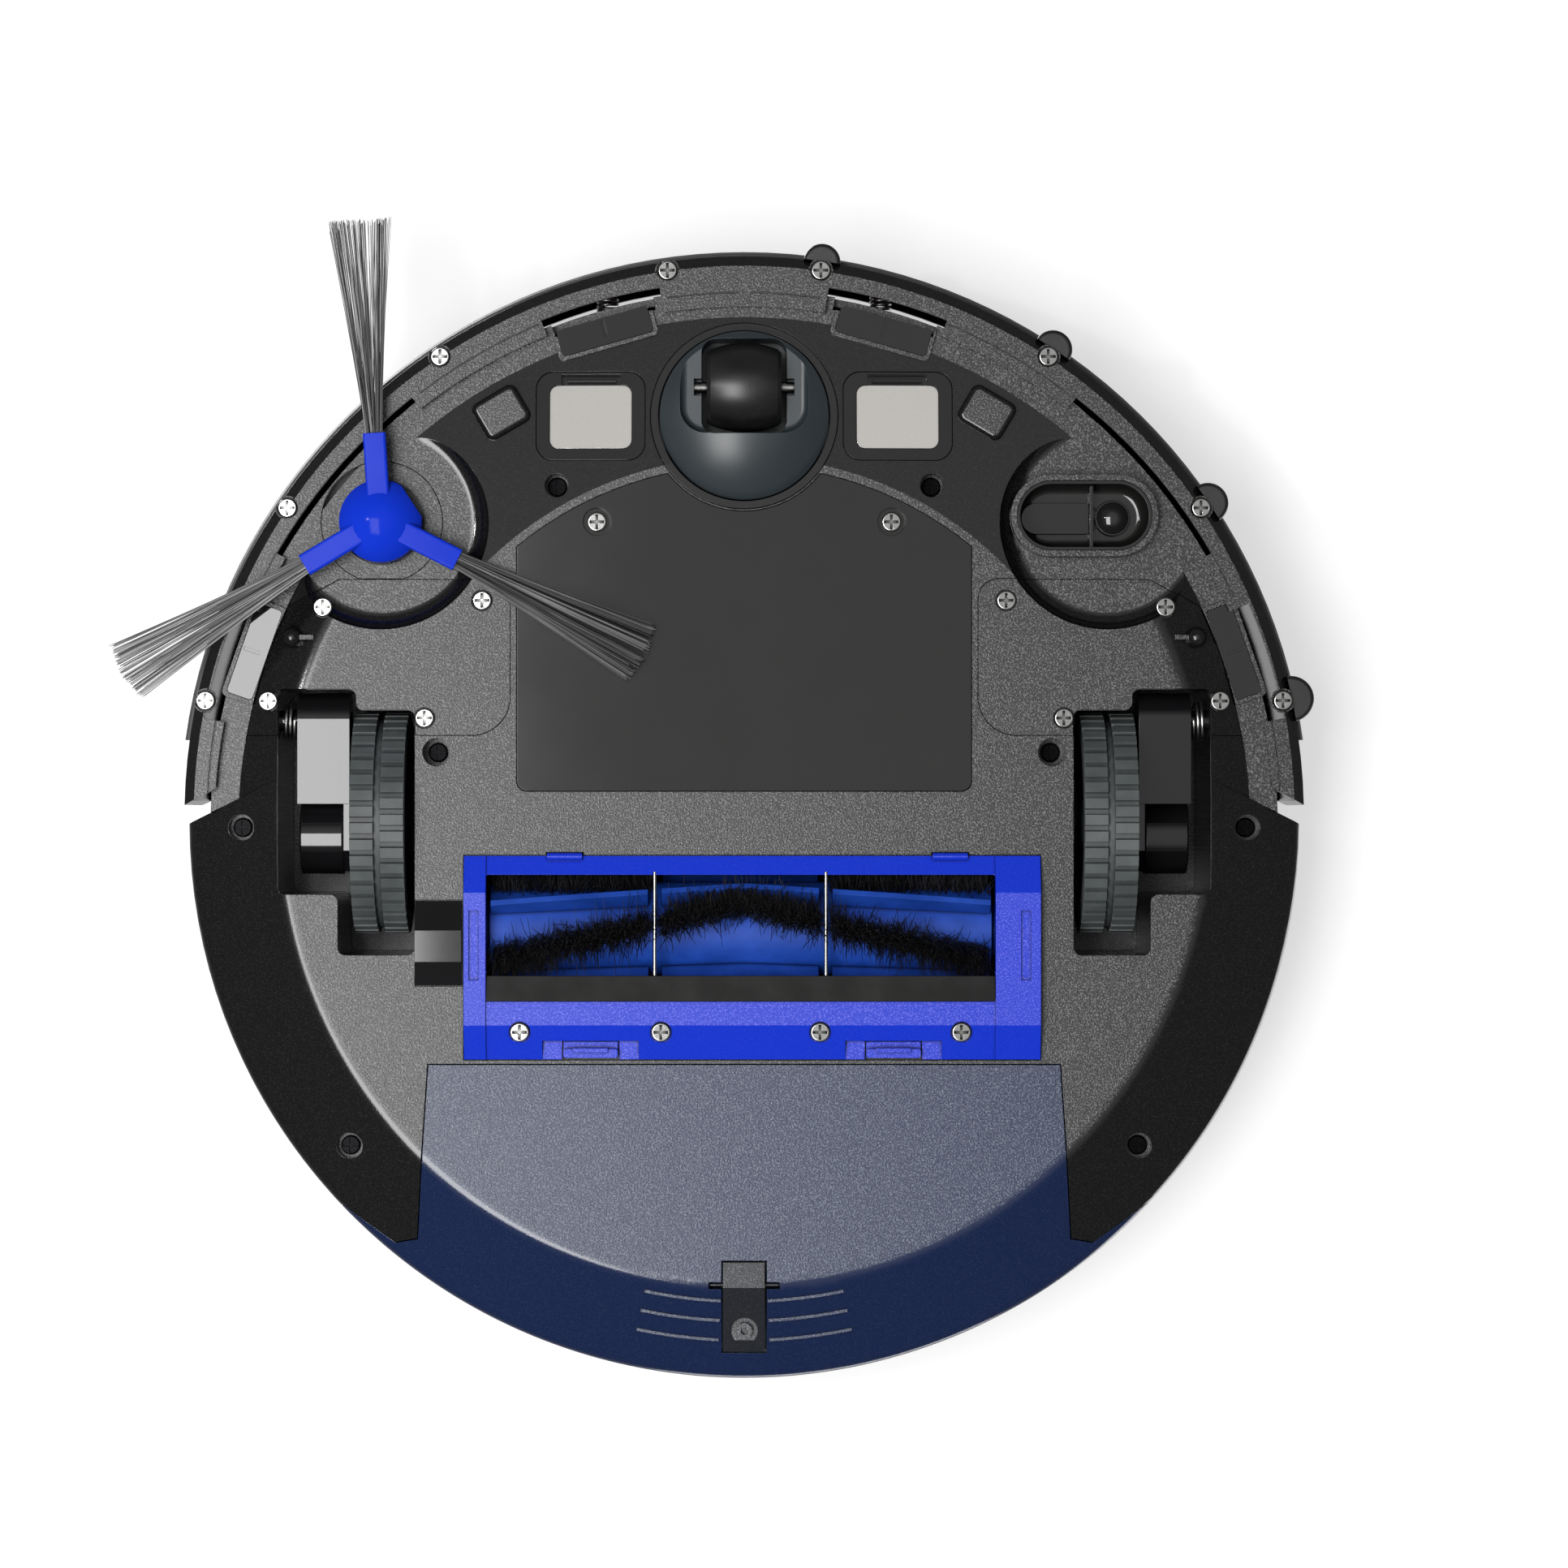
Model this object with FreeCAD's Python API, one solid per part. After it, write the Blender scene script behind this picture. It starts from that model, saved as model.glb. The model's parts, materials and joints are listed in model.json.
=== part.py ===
import FreeCAD, Part
import math
import os

# Round floor-cleaning robot, standing on its wheels. Millimetres, +Z up, floor at z = 0.
# The origin is on the floor, midway between the drive wheels. The front faces -Y.
# "Front angle" below is measured from the front, positive towards +X.

V = FreeCAD.Vector
UP = V(0, 0, 1)
ALONG_X = V(1, 0, 0)
ALONG_Y = V(0, 1, 0)

# Overall body
REAR_R = 160.3
FRONT_R = 153.5
BASE_Z = 10.0
RING_Z = 16.0
CHAMFER_Z = 20.0
SEAM_Z = 24.0
WALL_TOP_Z = 66.0
COVER_TOP_Z = 71.4
PANEL_TOP_Z = 72.0
SKIN = 2.6
WALL = 2.2
FLAT_R = 133.0
RING_IN_R = 145.5
NOSE_R = 105.0
NOSE_ANGLE = 50.0
STEP_OUT = (160.4, 0.3)
STEP_IN = (133.4, -12.7)
FAR = 220.0

# Bumper
BUMPER_Y = -2.0
BUMPER_R = 161.0
BUMPER_WALL = 2.4
LIP_Z = 12.5
LIP_TOP_Z = 14.5
BUMPER_TOP_Z = 68.0
BOSS_TOP_Z = 15.6
BUMPER_SCREW_R = 158.2
BUMPER_SCREW_ANGLES = (8.0, 33.5, 56.0, 77.9)
RUB_R = 163.1
RUB_Z = (22.0, 29.0)
WINDOW_Z = (37.0, 53.0)
WINDOW_ANGLE = 63.0
SIDE_WINDOW_ANGLE = 70.7
FRONT_WINDOW_ANGLE = 15.8

# Wheels
WHEEL_X = 104.8
WHEEL_R = 32.0
WHEEL_WIDTH = 15.4
LUG_COUNT = 42
LUG_HEIGHT = 1.1
GROOVE = 2.0
PIVOT_Y = -29.5
PIVOT_Z = 24.0
WELL_TOP_Z = 65.2

# Caster
CASTER_Y = -116.9
CASTER_R = 24.2
CASTER_AXLE_Y = -125.0
CASTER_WHEEL_R = 12.8
CASTER_WHEEL_W = 21.3

# Side brush and tracking sensor, each in a round dish
DISH_X = 104.2
DISH_Y = -86.5
DISH_R = 31.0
DISH_FLOOR_Z = 16.0
HUB_R = 11.8
BRISTLE_R = 86.0
ARM_R = 25.0
ARM_W = 6.5
ARM_ANGLES = (-3.5, 117.0, 239.1)
SENSOR_X = 97.6
SENSOR_Y = -88.2
SENSOR_L = 36.9
SENSOR_W = 18.1

# Main brush and its guard
BRUSH_Y = 30.5
BRUSH_Z = 26.0
BRUSH_R = 22.5
BRUSH_CORE_R = 13.5
CHAMBER_R = 24.2
GUARD_X = (-80.2, 84.8)
GUARD_Y = (9.4, 67.7)
GUARD_Z = 6.0
MOUTH_X = (-73.9, 71.9)
MOUTH_Y = (14.8, 42.9)
WIRE_X = (-25.6, 23.4)
GUARD_HINGE = (9.6, 9.0)
HOOK_X = (-51.4, 59.0)
LATCH_X = (-43.95, 42.75)
GUARD_SCREW_X = (-64.2, -23.8, 21.7, 62.1)
GUARD_SCREW_Y = 59.8

# Dustbin
BIN_FRONT_Y = 69.3
BIN_TOP_Z = 60.0
BIN_WALL = 2.0
LATCH_PIN_Y = 132.6
LATCH_PIN_Z = 13.4

# Fan, beside the dustbin
FAN_X = 116.0
FAN_Y = 65.0
FAN_Z = 24.2

# Fasteners
SCREW_HEAD_R = 2.8
SCREW_SHANK_R = 1.25
RUNNING = 0.05
GAP = 0.3


# ---------------------------------------------------------------- basic shapes

def block(x0, x1, y0, y1, z0, z1):
    return Part.makeBox(x1 - x0, y1 - y0, z1 - z0, V(x0, y0, z0))


def disc(x, y, r, z0, z1):
    return Part.makeCylinder(r, z1 - z0, V(x, y, z0))


def bar_x(x0, x1, y, z, r):
    return Part.makeCylinder(r, x1 - x0, V(x0, y, z), ALONG_X)


def prism(points, z0, z1):
    corners = [V(x, y, z0) for x, y in points]
    face = Part.Face(Part.makePolygon(corners + corners[:1]))
    return face.extrude(V(0, 0, z1 - z0))


def prism_x(points, x0, x1):
    """A prism along X from a (y, z) outline."""
    corners = [V(x0, y, z) for y, z in points]
    face = Part.Face(Part.makePolygon(corners + corners[:1]))
    return face.extrude(V(x1 - x0, 0, 0))


def turned(profile, x=0.0, y=0.0):
    """A solid of revolution about a vertical axis from an (r, z) outline."""
    corners = [V(x + r, y, z) for r, z in profile]
    face = Part.Face(Part.makePolygon(corners + corners[:1]))
    return face.revolve(V(x, y, 0), UP, 360)


def turned_x(profile, y, z):
    """A solid of revolution about an axis along X from an (x, r) outline."""
    corners = [V(x, y, z + r) for x, r in profile]
    face = Part.Face(Part.makePolygon(corners + corners[:1]))
    return face.revolve(V(0, y, z), ALONG_X, 360)


def round_upright(solid, radius):
    """Fillet every upright edge."""
    edges = []
    for edge in solid.Edges:
        a = edge.Vertexes[0].Point
        b = edge.Vertexes[-1].Point
        if math.hypot(a.x - b.x, a.y - b.y) < 1e-6 and abs(a.z - b.z) > 1e-3:
            edges.append(edge)
    return solid.makeFillet(radius, edges)


def edges_at(solid, z):
    """The edges that lie in the plane at height z."""
    return [e for e in solid.Edges if abs(e.BoundBox.ZMin - z) < 1e-4 and abs(e.BoundBox.ZMax - z) < 1e-4]


def round_box(x0, x1, y0, y1, z0, z1, radius):
    return round_upright(block(x0, x1, y0, y1, z0, z1), radius)


def stadium(x, y, length, width, z0, z1):
    half = (length - width) / 2
    solid = block(x - half, x + half, y - width / 2, y + width / 2, z0, z1)
    return solid.fuse([disc(x - half, y, width / 2, z0, z1), disc(x + half, y, width / 2, z0, z1)]).removeSplitter()


def polar(angle, radius, y=0.0):
    a = math.radians(angle)
    return radius * math.sin(a), y - radius * math.cos(a)


def ring_sector(r_in, r_out, a0, a1, z0, z1, y=0.0):
    """A flat piece of ring between two front angles."""
    def at(angle, radius):
        px, py = polar(angle, radius, y)
        return V(px, py, z0)
    mid = (a0 + a1) / 2
    edges = [
        Part.Arc(at(a0, r_out), at(mid, r_out), at(a1, r_out)).toShape(),
        Part.LineSegment(at(a1, r_out), at(a1, r_in)).toShape(),
        Part.Arc(at(a1, r_in), at(mid, r_in), at(a0, r_in)).toShape(),
        Part.LineSegment(at(a0, r_in), at(a0, r_out)).toShape(),
    ]
    return Part.Face(Part.Wire(edges)).extrude(V(0, 0, z1 - z0))


def swung(shape, angle):
    """A copy turned about the robot's centre, from the front to a front angle."""
    copy = shape.copy()
    copy.rotate(V(0, 0, 0), UP, angle)
    return copy


def mirrored(shape):
    return shape.mirror(V(0, 0, 0), ALONG_X)


def both(shape):
    return [shape, mirrored(shape)]


def cut_all(shape, tools):
    return shape.cut(list(tools))


def fuse_all(shape, others):
    return shape.fuse(list(others)).removeSplitter()


def coil(radius, wire_r, pitch, turns):
    """A spring standing on the origin along +Z."""
    helix = Part.makeHelix(pitch, pitch * turns, radius)
    section = Part.Wire(Part.makeCircle(wire_r, V(radius, 0, 0), ALONG_Y))
    return Part.Wire(helix).makePipeShell([section], True, True)


def screw(x, y, z, length):
    """A pan-head cross-recess screw, driven upwards, with its head's face at z."""
    head = disc(x, y, SCREW_HEAD_R, z, z + 1.5)
    head = head.makeFillet(0.5, edges_at(head, z))
    body = head.fuse(disc(x, y, SCREW_SHANK_R, z + 1.5, z + length))
    slots = [block(x - 2.1, x + 2.1, y - 0.4, y + 0.4, z, z + 0.8)]
    slots.append(block(x - 0.4, x + 0.4, y - 2.1, y + 2.1, z, z + 0.8))
    return cut_all(body, slots)


def screw_seat(x, y, z, length):
    """The counterbore and hole that such a screw needs."""
    return disc(x, y, SCREW_HEAD_R + GAP, z - 8, z + 1.5).fuse(disc(x, y, SCREW_SHANK_R, z + 1, z + length))


# ---------------------------------------------------------------- body outlines

def rear_region(z0, z1, shift=0.0):
    """Everything behind the two slanted steps where the body widens."""
    slope = (STEP_OUT[1] - STEP_IN[1]) / (STEP_OUT[0] - STEP_IN[0])
    far_y = STEP_OUT[1] + slope * (FAR - STEP_OUT[0])
    points = [(STEP_IN[0], STEP_IN[1] + shift), (FAR, far_y + shift), (FAR, FAR)]
    left = [(-x, y) for x, y in reversed(points)]
    return prism(points + left, z0, z1)


def plan(rear_r, front_r, z0, z1, shift=0.0):
    rear = disc(0, 0, rear_r, z0, z1).common(rear_region(z0, z1, shift))
    return fuse_all(rear, [disc(0, 0, front_r, z0, z1)])


def corner_arc(before, corner, after, radius):
    """Start, middle and end of the arc that rounds a corner of an (r, z) outline."""
    a = (V(*before) - V(*corner)).normalize()
    b = (V(*after) - V(*corner)).normalize()
    half = math.acos(max(-1.0, min(1.0, a.dot(b)))) / 2
    start = V(*corner) + a * (radius / math.tan(half))
    end = V(*corner) + b * (radius / math.tan(half))
    centre = V(*corner) + (a + b).normalize() * (radius / math.sin(half))
    middle = centre + (V(*corner) - centre).normalize() * radius
    return start, middle, end


def soft_turned(profile, rounds):
    """A turned solid from an (r, z) outline, with the corners in rounds rounded."""
    corners = [(r, 0.0, z) for r, z in profile]
    count = len(corners)
    edges = []
    starts = []
    ends = []
    for i, corner in enumerate(corners):
        if i in rounds:
            start, middle, end = corner_arc(corners[i - 1], corner, corners[(i + 1) % count], rounds[i])
            edges.append(Part.Arc(start, middle, end).toShape())
        else:
            start = end = V(*corner)
        starts.append(start)
        ends.append(end)
    for i in range(count):
        edges.append(Part.LineSegment(ends[i], starts[(i + 1) % count]).toShape())
    face = Part.Face(Part.Wire(Part.__sortEdges__(edges)))
    return face.revolve(V(0, 0, 0), UP, 360)


def envelope(thickness, top_z):
    """The solid above the underside surface, moved inwards by a thickness."""
    t = thickness
    wall = WALL if thickness > 1 else 0.0
    lean = 0.2 * t
    low = BASE_Z + t
    rear = [(0, low), (FLAT_R - lean, low), (REAR_R - wall, CHAMFER_Z + t - 0.37 * wall),
            (REAR_R - wall, top_z), (0, top_z)]
    front = [(0, low), (FLAT_R - lean, low), (RING_IN_R - lean, RING_Z + t), (FRONT_R - wall, RING_Z + t),
             (FRONT_R - wall, top_z), (0, top_z)]
    nose = [(NOSE_R, low - 20), (NOSE_R - lean, low), (RING_IN_R - lean, RING_Z + t), (RING_IN_R - lean, low - 20)]
    rear_solid = soft_turned(rear, {1: 12.0} if wall else {1: 12.0, 2: 4.0})
    front_solid = soft_turned(front, {1: 16.0}).cut(rear_region(0, top_z, wall))
    wedge = prism([(0, 0), polar(-NOSE_ANGLE, FAR), polar(0, 2 * FAR), polar(NOSE_ANGLE, FAR)], 0, top_z)
    nose_cut = turned(nose).common(wedge)
    rear_solid = rear_solid.common(rear_region(0, top_z, wall))
    return fuse_all(rear_solid, [front_solid]).cut(nose_cut)


def well_outline(margin):
    """The stepped outline of the +X wheel well, grown by a margin."""
    m = margin
    return [(94.4 - m, -32.3 - m), (111.4 - m, -32.3 - m), (111.4 - m, -38.3 - m), (133.7 + m, -38.3 - m),
            (133.7 + m, 20.5 + m), (116.5 + m, 20.5 + m), (116.5 + m, 37.9 + m), (94.4 - m, 37.9 + m)]


def well(margin, z0, z1):
    return round_upright(prism(well_outline(margin), z0, z1), 2.2)


def bay(margin, z0, z1):
    """The plan of the dustbin, grown by a margin."""
    m = margin
    right = [(90.5 + m, BIN_FRONT_Y - m), (93.9 + m, 119.8 - m), (100.4 + m, 121.0 - m),
             (116.0 + m, 110.0 - m), (116.0 + m, FAR)]
    left = [(-x, y) for x, y in reversed(right)]
    return prism(right + left, z0, z1)


def wheel_cover_outline(margin):
    """The plan of the +X wheel cover, grown by a margin."""
    m = margin
    outer = RING_IN_R - 0.3 + m
    plate = block(67.1 - m, 160, WHEEL_COVER_Y - m, -25.2 + m, 0, 30)
    corners = {round(67.1 - m, 3)}
    edges = []
    for edge in plate.Edges:
        upright = edge.BoundBox.ZLength > 1
        if upright and round(edge.BoundBox.XMin, 3) in corners:
            edges.append((edge, 6.0 if edge.BoundBox.YMin < -60 else 11.0))
    for edge, radius in edges:
        near = [e for e in plate.Edges if e.CenterOfMass.distanceToPoint(edge.CenterOfMass) < 1e-6]
        plate = plate.makeFillet(radius, near)
    corner = prism([(116.4 + m, -70 - m), (160, -46.8 - m), (160, -71 - m), (116.4 + m, -71 - m)], 0, 30)
    return plate.common(disc(0, 0, outer, 0, 30)).cut(corner)


def battery_outline(margin, z0, z1):
    m = margin
    plate = round_box(-65.1 - m, 65.1 + m, -100 - m, -9.2 + m, z0, z1, 3.0)
    plate = plate.common(disc(0, 0, 102.5 + m, z0, z1))
    return plate.cut(disc(0, CASTER_Y, 27.6 - m, z0, z1))


def guard_profile(margin):
    """The guard's side outline in (y, z): front slope, flat, rear slope."""
    m = margin
    return [(GUARD_Y[0] - m, 12.3), (GUARD_Y[0] - m, 9.4), (19.9, GUARD_Z), (57.8, GUARD_Z),
            (GUARD_Y[1] + m, 9.4), (GUARD_Y[1] + m, 12.3)]


# ---------------------------------------------------------------- base housing

WHEEL_COVER_Y = -70.0
COVER_SCREWS = ((75.1, -63.8), (120.8, -61.9), (91.6, -30.1), (136.6, -35.0))
BATTERY_SCREW = (42.2, -86.3)
DEEP_SCREWS = ((53.8, -96.8, 3.4), (88.2, -20.3, 4.0), (144.5, 1.3, 3.8), (113.4, 92.8, 3.8))
DEEP_SCREW_Z = 19.0


def dish_cutter(side):
    """A bowl with a flat floor and a wall that steepens towards its rim."""
    bowl = disc(side * DISH_X, DISH_Y, DISH_R, 0, DISH_FLOOR_Z)
    return bowl.makeFillet(5.5, edges_at(bowl, DISH_FLOOR_Z))


def cliff_window(radius, angle, margin, z0, z1):
    length = 27.0 + 2 * margin
    width = 7.6 + 2 * margin
    pane = round_box(-length / 2, length / 2, -radius - width / 2, -radius + width / 2, z0, z1, 1.0 + margin / 2)
    return swung(pane, angle)


def skin_with_dishes(outer):
    """The underside skin, thickened behind the two dishes and cut by them."""
    skin = outer.cut(envelope(SKIN, SEAM_Z + 1))
    bosses = [disc(side * DISH_X, DISH_Y, DISH_R + 1.5, 10, DISH_FLOOR_Z + 2.2).common(outer) for side in (-1, 1)]
    skin = fuse_all(skin, bosses)
    return cut_all(skin, [dish_cutter(-1), dish_cutter(1)])


def nose_pads():
    """Two rounded pads that stand proud of the sloping nose."""
    pad = round_box(-7.2, 7.2, -143.0, -131.0, 12.2, 18.0, 2.4)
    pad = pad.makeFillet(1.6, edges_at(pad, 12.2))
    return [swung(pad, 30.6), swung(pad, -30.6)]


def sensor_rim():
    """The raised stadium wall round the tracking sensor, in the +X dish."""
    return stadium(SENSOR_X, SENSOR_Y, SENSOR_L + 5.4, SENSOR_W + 5.4, 10.2, 18)


def brush_chamber_shell():
    tube = bar_x(-80.7, 85.2, BRUSH_Y, BRUSH_Z, CHAMBER_R + 2.2)
    deck = block(-82.4, 87.0, 7.2, 68.9, 11, 15)
    duct = block(-62, 62, 50, 68.9, 12, 46)
    return [tube, deck, duct]


def brush_chamber_cutters():
    tube = bar_x(-78.5, 83.0, BRUSH_Y, BRUSH_Z, CHAMBER_R)
    pocket = block(GUARD_X[0] - GAP, GUARD_X[1] + GAP, GUARD_Y[0] - GAP, GUARD_Y[1] + GAP, 0, 12.6)
    duct = block(-60, 60, 40, 75, 18, 44)
    axle = bar_x(-82, 86, BRUSH_Y, BRUSH_Z, 3.0 + RUNNING)
    hooks = [bar_x(x - 5.4, x + 5.4, GUARD_HINGE[0], GUARD_HINGE[1], 1.6) for x in HOOK_X]
    return [tube, pocket, duct, axle] + hooks


def deep_screw_tubes(outer):
    tubes = []
    for x, y, r in DEEP_SCREWS:
        tube = disc(x, y, r + 1.8, 8, SEAM_Z).common(outer)
        tubes += both(tube)
    return tubes


def deep_screw_holes():
    holes = []
    for x, y, r in DEEP_SCREWS:
        hole = disc(x, y, r, 0, DEEP_SCREW_Z + 1.5).fuse(disc(x, y, SCREW_SHANK_R, 0, SEAM_Z))
        holes += both(hole)
    return holes


def gearbox_cover_recess():
    """Room for the brush gearbox cover's plate and for the neck above it."""
    plate = block(-94.4, -80.5, 22.0, 46.8, 9, 11.2)
    return plate.fuse(block(-92.3, -82.5, 25.9, 42.1, 10, 13.1))


TROUGH_R = 149.8
TROUGH_ANGLES = (9.8, 21.2)


def ring_trough_walls():
    """Walls behind the two troughs in the ring, where the bumper's lip steps outwards."""
    a0, a1 = TROUGH_ANGLES
    return both(ring_sector(TROUGH_R - 2.4, TROUGH_R, a0 - 0.8, a1 + 0.8, RING_Z + 1, SEAM_Z))


def ring_troughs():
    a0, a1 = TROUGH_ANGLES
    return both(ring_sector(TROUGH_R, FRONT_R + 1, a0, a1, RING_Z - 4, SEAM_Z - 2.5))


def cover_screw_holes():
    holes = []
    for x, y in COVER_SCREWS:
        holes += both(disc(x, y, SCREW_SHANK_R, 0, SEAM_Z))
    return holes


def base_housing():
    outer = envelope(0, SEAM_Z)
    tall = envelope(0, WALL_TOP_Z)
    base = skin_with_dishes(outer)
    roofed = envelope(0, COVER_TOP_Z)
    liners = [liner.common(roofed) for liner in both(well(1.8, 10.5, WELL_TOP_Z + 1.6))]
    pivots = both(bar_x(135.3, 141.5, PIVOT_Y, PIVOT_Z, 6.0))
    bay_wall = bay(2.4, 11, SEAM_Z).cut(bay(GAP, 10, SEAM_Z + 1))
    additions = [s.common(tall) for s in brush_chamber_shell()] + liners + pivots
    additions += [bay_wall.common(outer), sensor_rim()] + nose_pads() + deep_screw_tubes(outer)
    additions += [disc(0, CASTER_Y, 29.0, 12, 28).common(tall)] + ring_trough_walls()
    for side in (-1, 1):
        additions.append(cliff_window(147.0, side * FRONT_WINDOW_ANGLE, 1.3, 15.0, 19.0))
        additions.append(cliff_window(149.2, side * SIDE_WINDOW_ANGLE, 1.3, 15.2, 19.0))
    base = fuse_all(base, additions)

    tools = both(well(0, 0, WELL_TOP_Z)) + brush_chamber_cutters() + deep_screw_holes() + cover_screw_holes()
    tools += [bay(GAP, 0, SEAM_Z + 1), gearbox_cover_recess()]
    tools += both(bar_x(128, 139.5, PIVOT_Y, PIVOT_Z, 3.0 + RUNNING))
    tools += [disc(0, CASTER_Y, 27.0, 0, 40)]
    tools += [disc(-DISH_X, DISH_Y, 17.6, 0, 30)]
    tools += [stadium(SENSOR_X, SENSOR_Y, SENSOR_L + 2.0, SENSOR_W + 2.0, 0, 30)]
    tools += both(bezel_prism(0.15, 0, 30))
    tools += both(wheel_cover_cutter()) + [battery_outline(0.2, 0, 20)] + ring_troughs()
    for side in (-1, 1):
        tools.append(cliff_window(147.0, side * FRONT_WINDOW_ANGLE, 0.1, 10.0, 20.0))
        tools.append(cliff_window(149.2, side * SIDE_WINDOW_ANGLE, 0.1, 10.0, 20.0))
    return cut_all(base, tools)


def wheel_cover_cutter():
    """The room that the +X wheel cover takes in the skin and in the dish's thicker floor."""
    below = envelope(-9, 40).cut(envelope(SKIN + 0.1, 41))
    dish = disc(DISH_X, DISH_Y, DISH_R + 1.6, 0, DISH_FLOOR_Z + 2.3)
    return wheel_cover_outline(0.15).common(below.fuse(dish))


def wheel_cover(side):
    outer = envelope(0, SEAM_Z)
    shape = skin_with_dishes(outer).common(block(60, 160, -80, -20, 5, 20))
    nub = Part.makeSphere(3.0, V(129.8, -53.3, 12.8)).fuse(block(123.5, 127.5, -54.0, -52.6, 10.6, 12))
    shape = shape.fuse(nub).common(wheel_cover_outline(0))
    shape = shape.cut(well(0.2, 0, 30))
    shape = cut_all(shape, [screw_seat(x, y, seat_z(x, y), 9) for x, y in COVER_SCREWS])
    return shape if side > 0 else mirrored(shape)


def seat_z(x, y):
    """Height of a screw head's face: just under flush with the skin around it."""
    radius = math.hypot(x, y)
    slope = (RING_Z - BASE_Z) / (RING_IN_R - FLAT_R)
    return BASE_Z - 0.2 + max(0.0, radius - FLAT_R - 1.5) * slope * 0.6


def cover_screws():
    screws = []
    for x, y in COVER_SCREWS:
        screws += both(screw(x, y, seat_z(x, y), 9))
    screws += both(screw(BATTERY_SCREW[0], BATTERY_SCREW[1], BASE_Z, 9))
    return Part.makeCompound(screws)


def housing_screws():
    screws = []
    for x, y, _ in DEEP_SCREWS:
        screws += both(screw(x, y, DEEP_SCREW_Z, SEAM_Z - DEEP_SCREW_Z))
    return Part.makeCompound(screws)


def battery_cover():
    plate = battery_outline(0, BASE_Z - 0.1, BASE_Z + 2.4)
    tools = []
    for side in (-1, 1):
        x = side * BATTERY_SCREW[0]
        tools.append(disc(x, BATTERY_SCREW[1], 4.0, 0, BASE_Z + 1.5))
        tools.append(disc(x, BATTERY_SCREW[1], SCREW_SHANK_R, 0, 20))
    return cut_all(plate, tools)


def battery_pack():
    pack = round_box(-37, 37, -84, -20, 13.0, 39.0, 3)
    return pack.makeFillet(2, edges_at(pack, 39.0))


def main_board():
    board = round_box(-62, 62, -84, -8, 50.0, 51.6, 3)
    chips = [block(-40, -18, -60, -38, 51.6, 53.6), block(2, 14, -50, -40, 51.6, 53.2),
             block(24, 44, -74, -62, 51.6, 58.0), block(-10, 10, -80, -72, 51.6, 57.0)]
    return fuse_all(board, chips)


# ---------------------------------------------------------------- sensors and contacts

def bezel_prism(margin, z0, z1):
    m = margin
    return round_box(28.5 - m, 59.7 + m, -129.6 - m, -104.1 + m, z0, z1, 5.0)


def plate_prism(margin, z0, z1):
    m = margin
    return round_box(32.3 - m, 55.8 + m, -125.7 - m, -107.5 + m, z0, z1, 2.5 + m)


def charging_bezels():
    """Black frames that follow the nose slope, with a slot at the front of each."""
    bezel = bezel_prism(0, 0, 22).common(envelope(0.25, 22))
    slot = block(35.5, 52.5, -128.9, -125.6, 0, 21)
    lip = block(36.8, 51.2, -127.7, -126.9, 0, 22).common(envelope(1.6, 22))
    bezel = cut_all(bezel, [plate_prism(0.1, 0, 20), slot])
    bezel = fuse_all(bezel, [lip])
    return Part.makeCompound(both(bezel))


def charging_contacts():
    plate = plate_prism(0, 0, 19).common(envelope(0.45, 19))
    return Part.makeCompound(both(plate))


def cliff_windows(radius, angle, z):
    panes = []
    for side in (-1, 1):
        pane = cliff_window(radius, side * angle, 0, z, 19.5)
        slit = swung(block(-0.5, 0.5, -radius - 3.2, -radius + 1.6, z - 1, z + 0.4), side * angle)
        panes.append(pane.cut(slit))
    return Part.makeCompound(panes)


def tracking_sensor_bezel():
    outer = stadium(SENSOR_X, SENSOR_Y, SENSOR_L + 1.8, SENSOR_W + 1.8, 10.8, 31)
    hollow = stadium(SENSOR_X, SENSOR_Y, SENSOR_L, SENSOR_W, 0, 22)
    hollow = hollow.makeFillet(3.0, edges_at(hollow, 22))
    light = stadium(SENSOR_X - 6.4, SENSOR_Y + 0.4, 22.6, 9.0, 20, 28)
    lens = disc(SENSOR_X + 8.6, SENSOR_Y + 0.3, 5.2, 20, 28)
    ledge = block(SENSOR_X + 1.8, SENSOR_X + 2.8, SENSOR_Y - 8.8, SENSOR_Y + 8.8, 16, 24)
    return fuse_all(outer.cut(hollow), [ledge]).cut([light, lens])


def tracking_sensor_light():
    light = stadium(SENSOR_X - 6.4, SENSOR_Y + 0.4, 22.4, 8.8, 20.4, 27.9)
    return light.cut(block(SENSOR_X + 1.7, SENSOR_X + 9, SENSOR_Y - 9, SENSOR_Y + 9, 15, 29))


def tracking_sensor_lens():
    x = SENSOR_X + 8.6
    y = SENSOR_Y + 0.3
    barrel = disc(x, y, 5.0, 20.2, 27.9)
    dome = Part.makeSphere(7.0, V(x, y, 24.6)).common(disc(x, y, 4.6, 15, 24.6))
    cut = block(SENSOR_X + 1.8, SENSOR_X + 3.1, SENSOR_Y - 9, SENSOR_Y + 9, 15, 29)
    return fuse_all(barrel, [dome]).cut(cut)


# ---------------------------------------------------------------- upper housing

VENT_ANGLES = [104.0 + 3.2 * i for i in range(9)]


def exhaust_slots():
    slot = block(-1.3, 1.3, -REAR_R - 5, -REAR_R + 5, 34, 54)
    slots = []
    for angle in VENT_ANGLES:
        slots += [swung(slot, angle), swung(slot, -angle)]
    return slots


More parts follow.
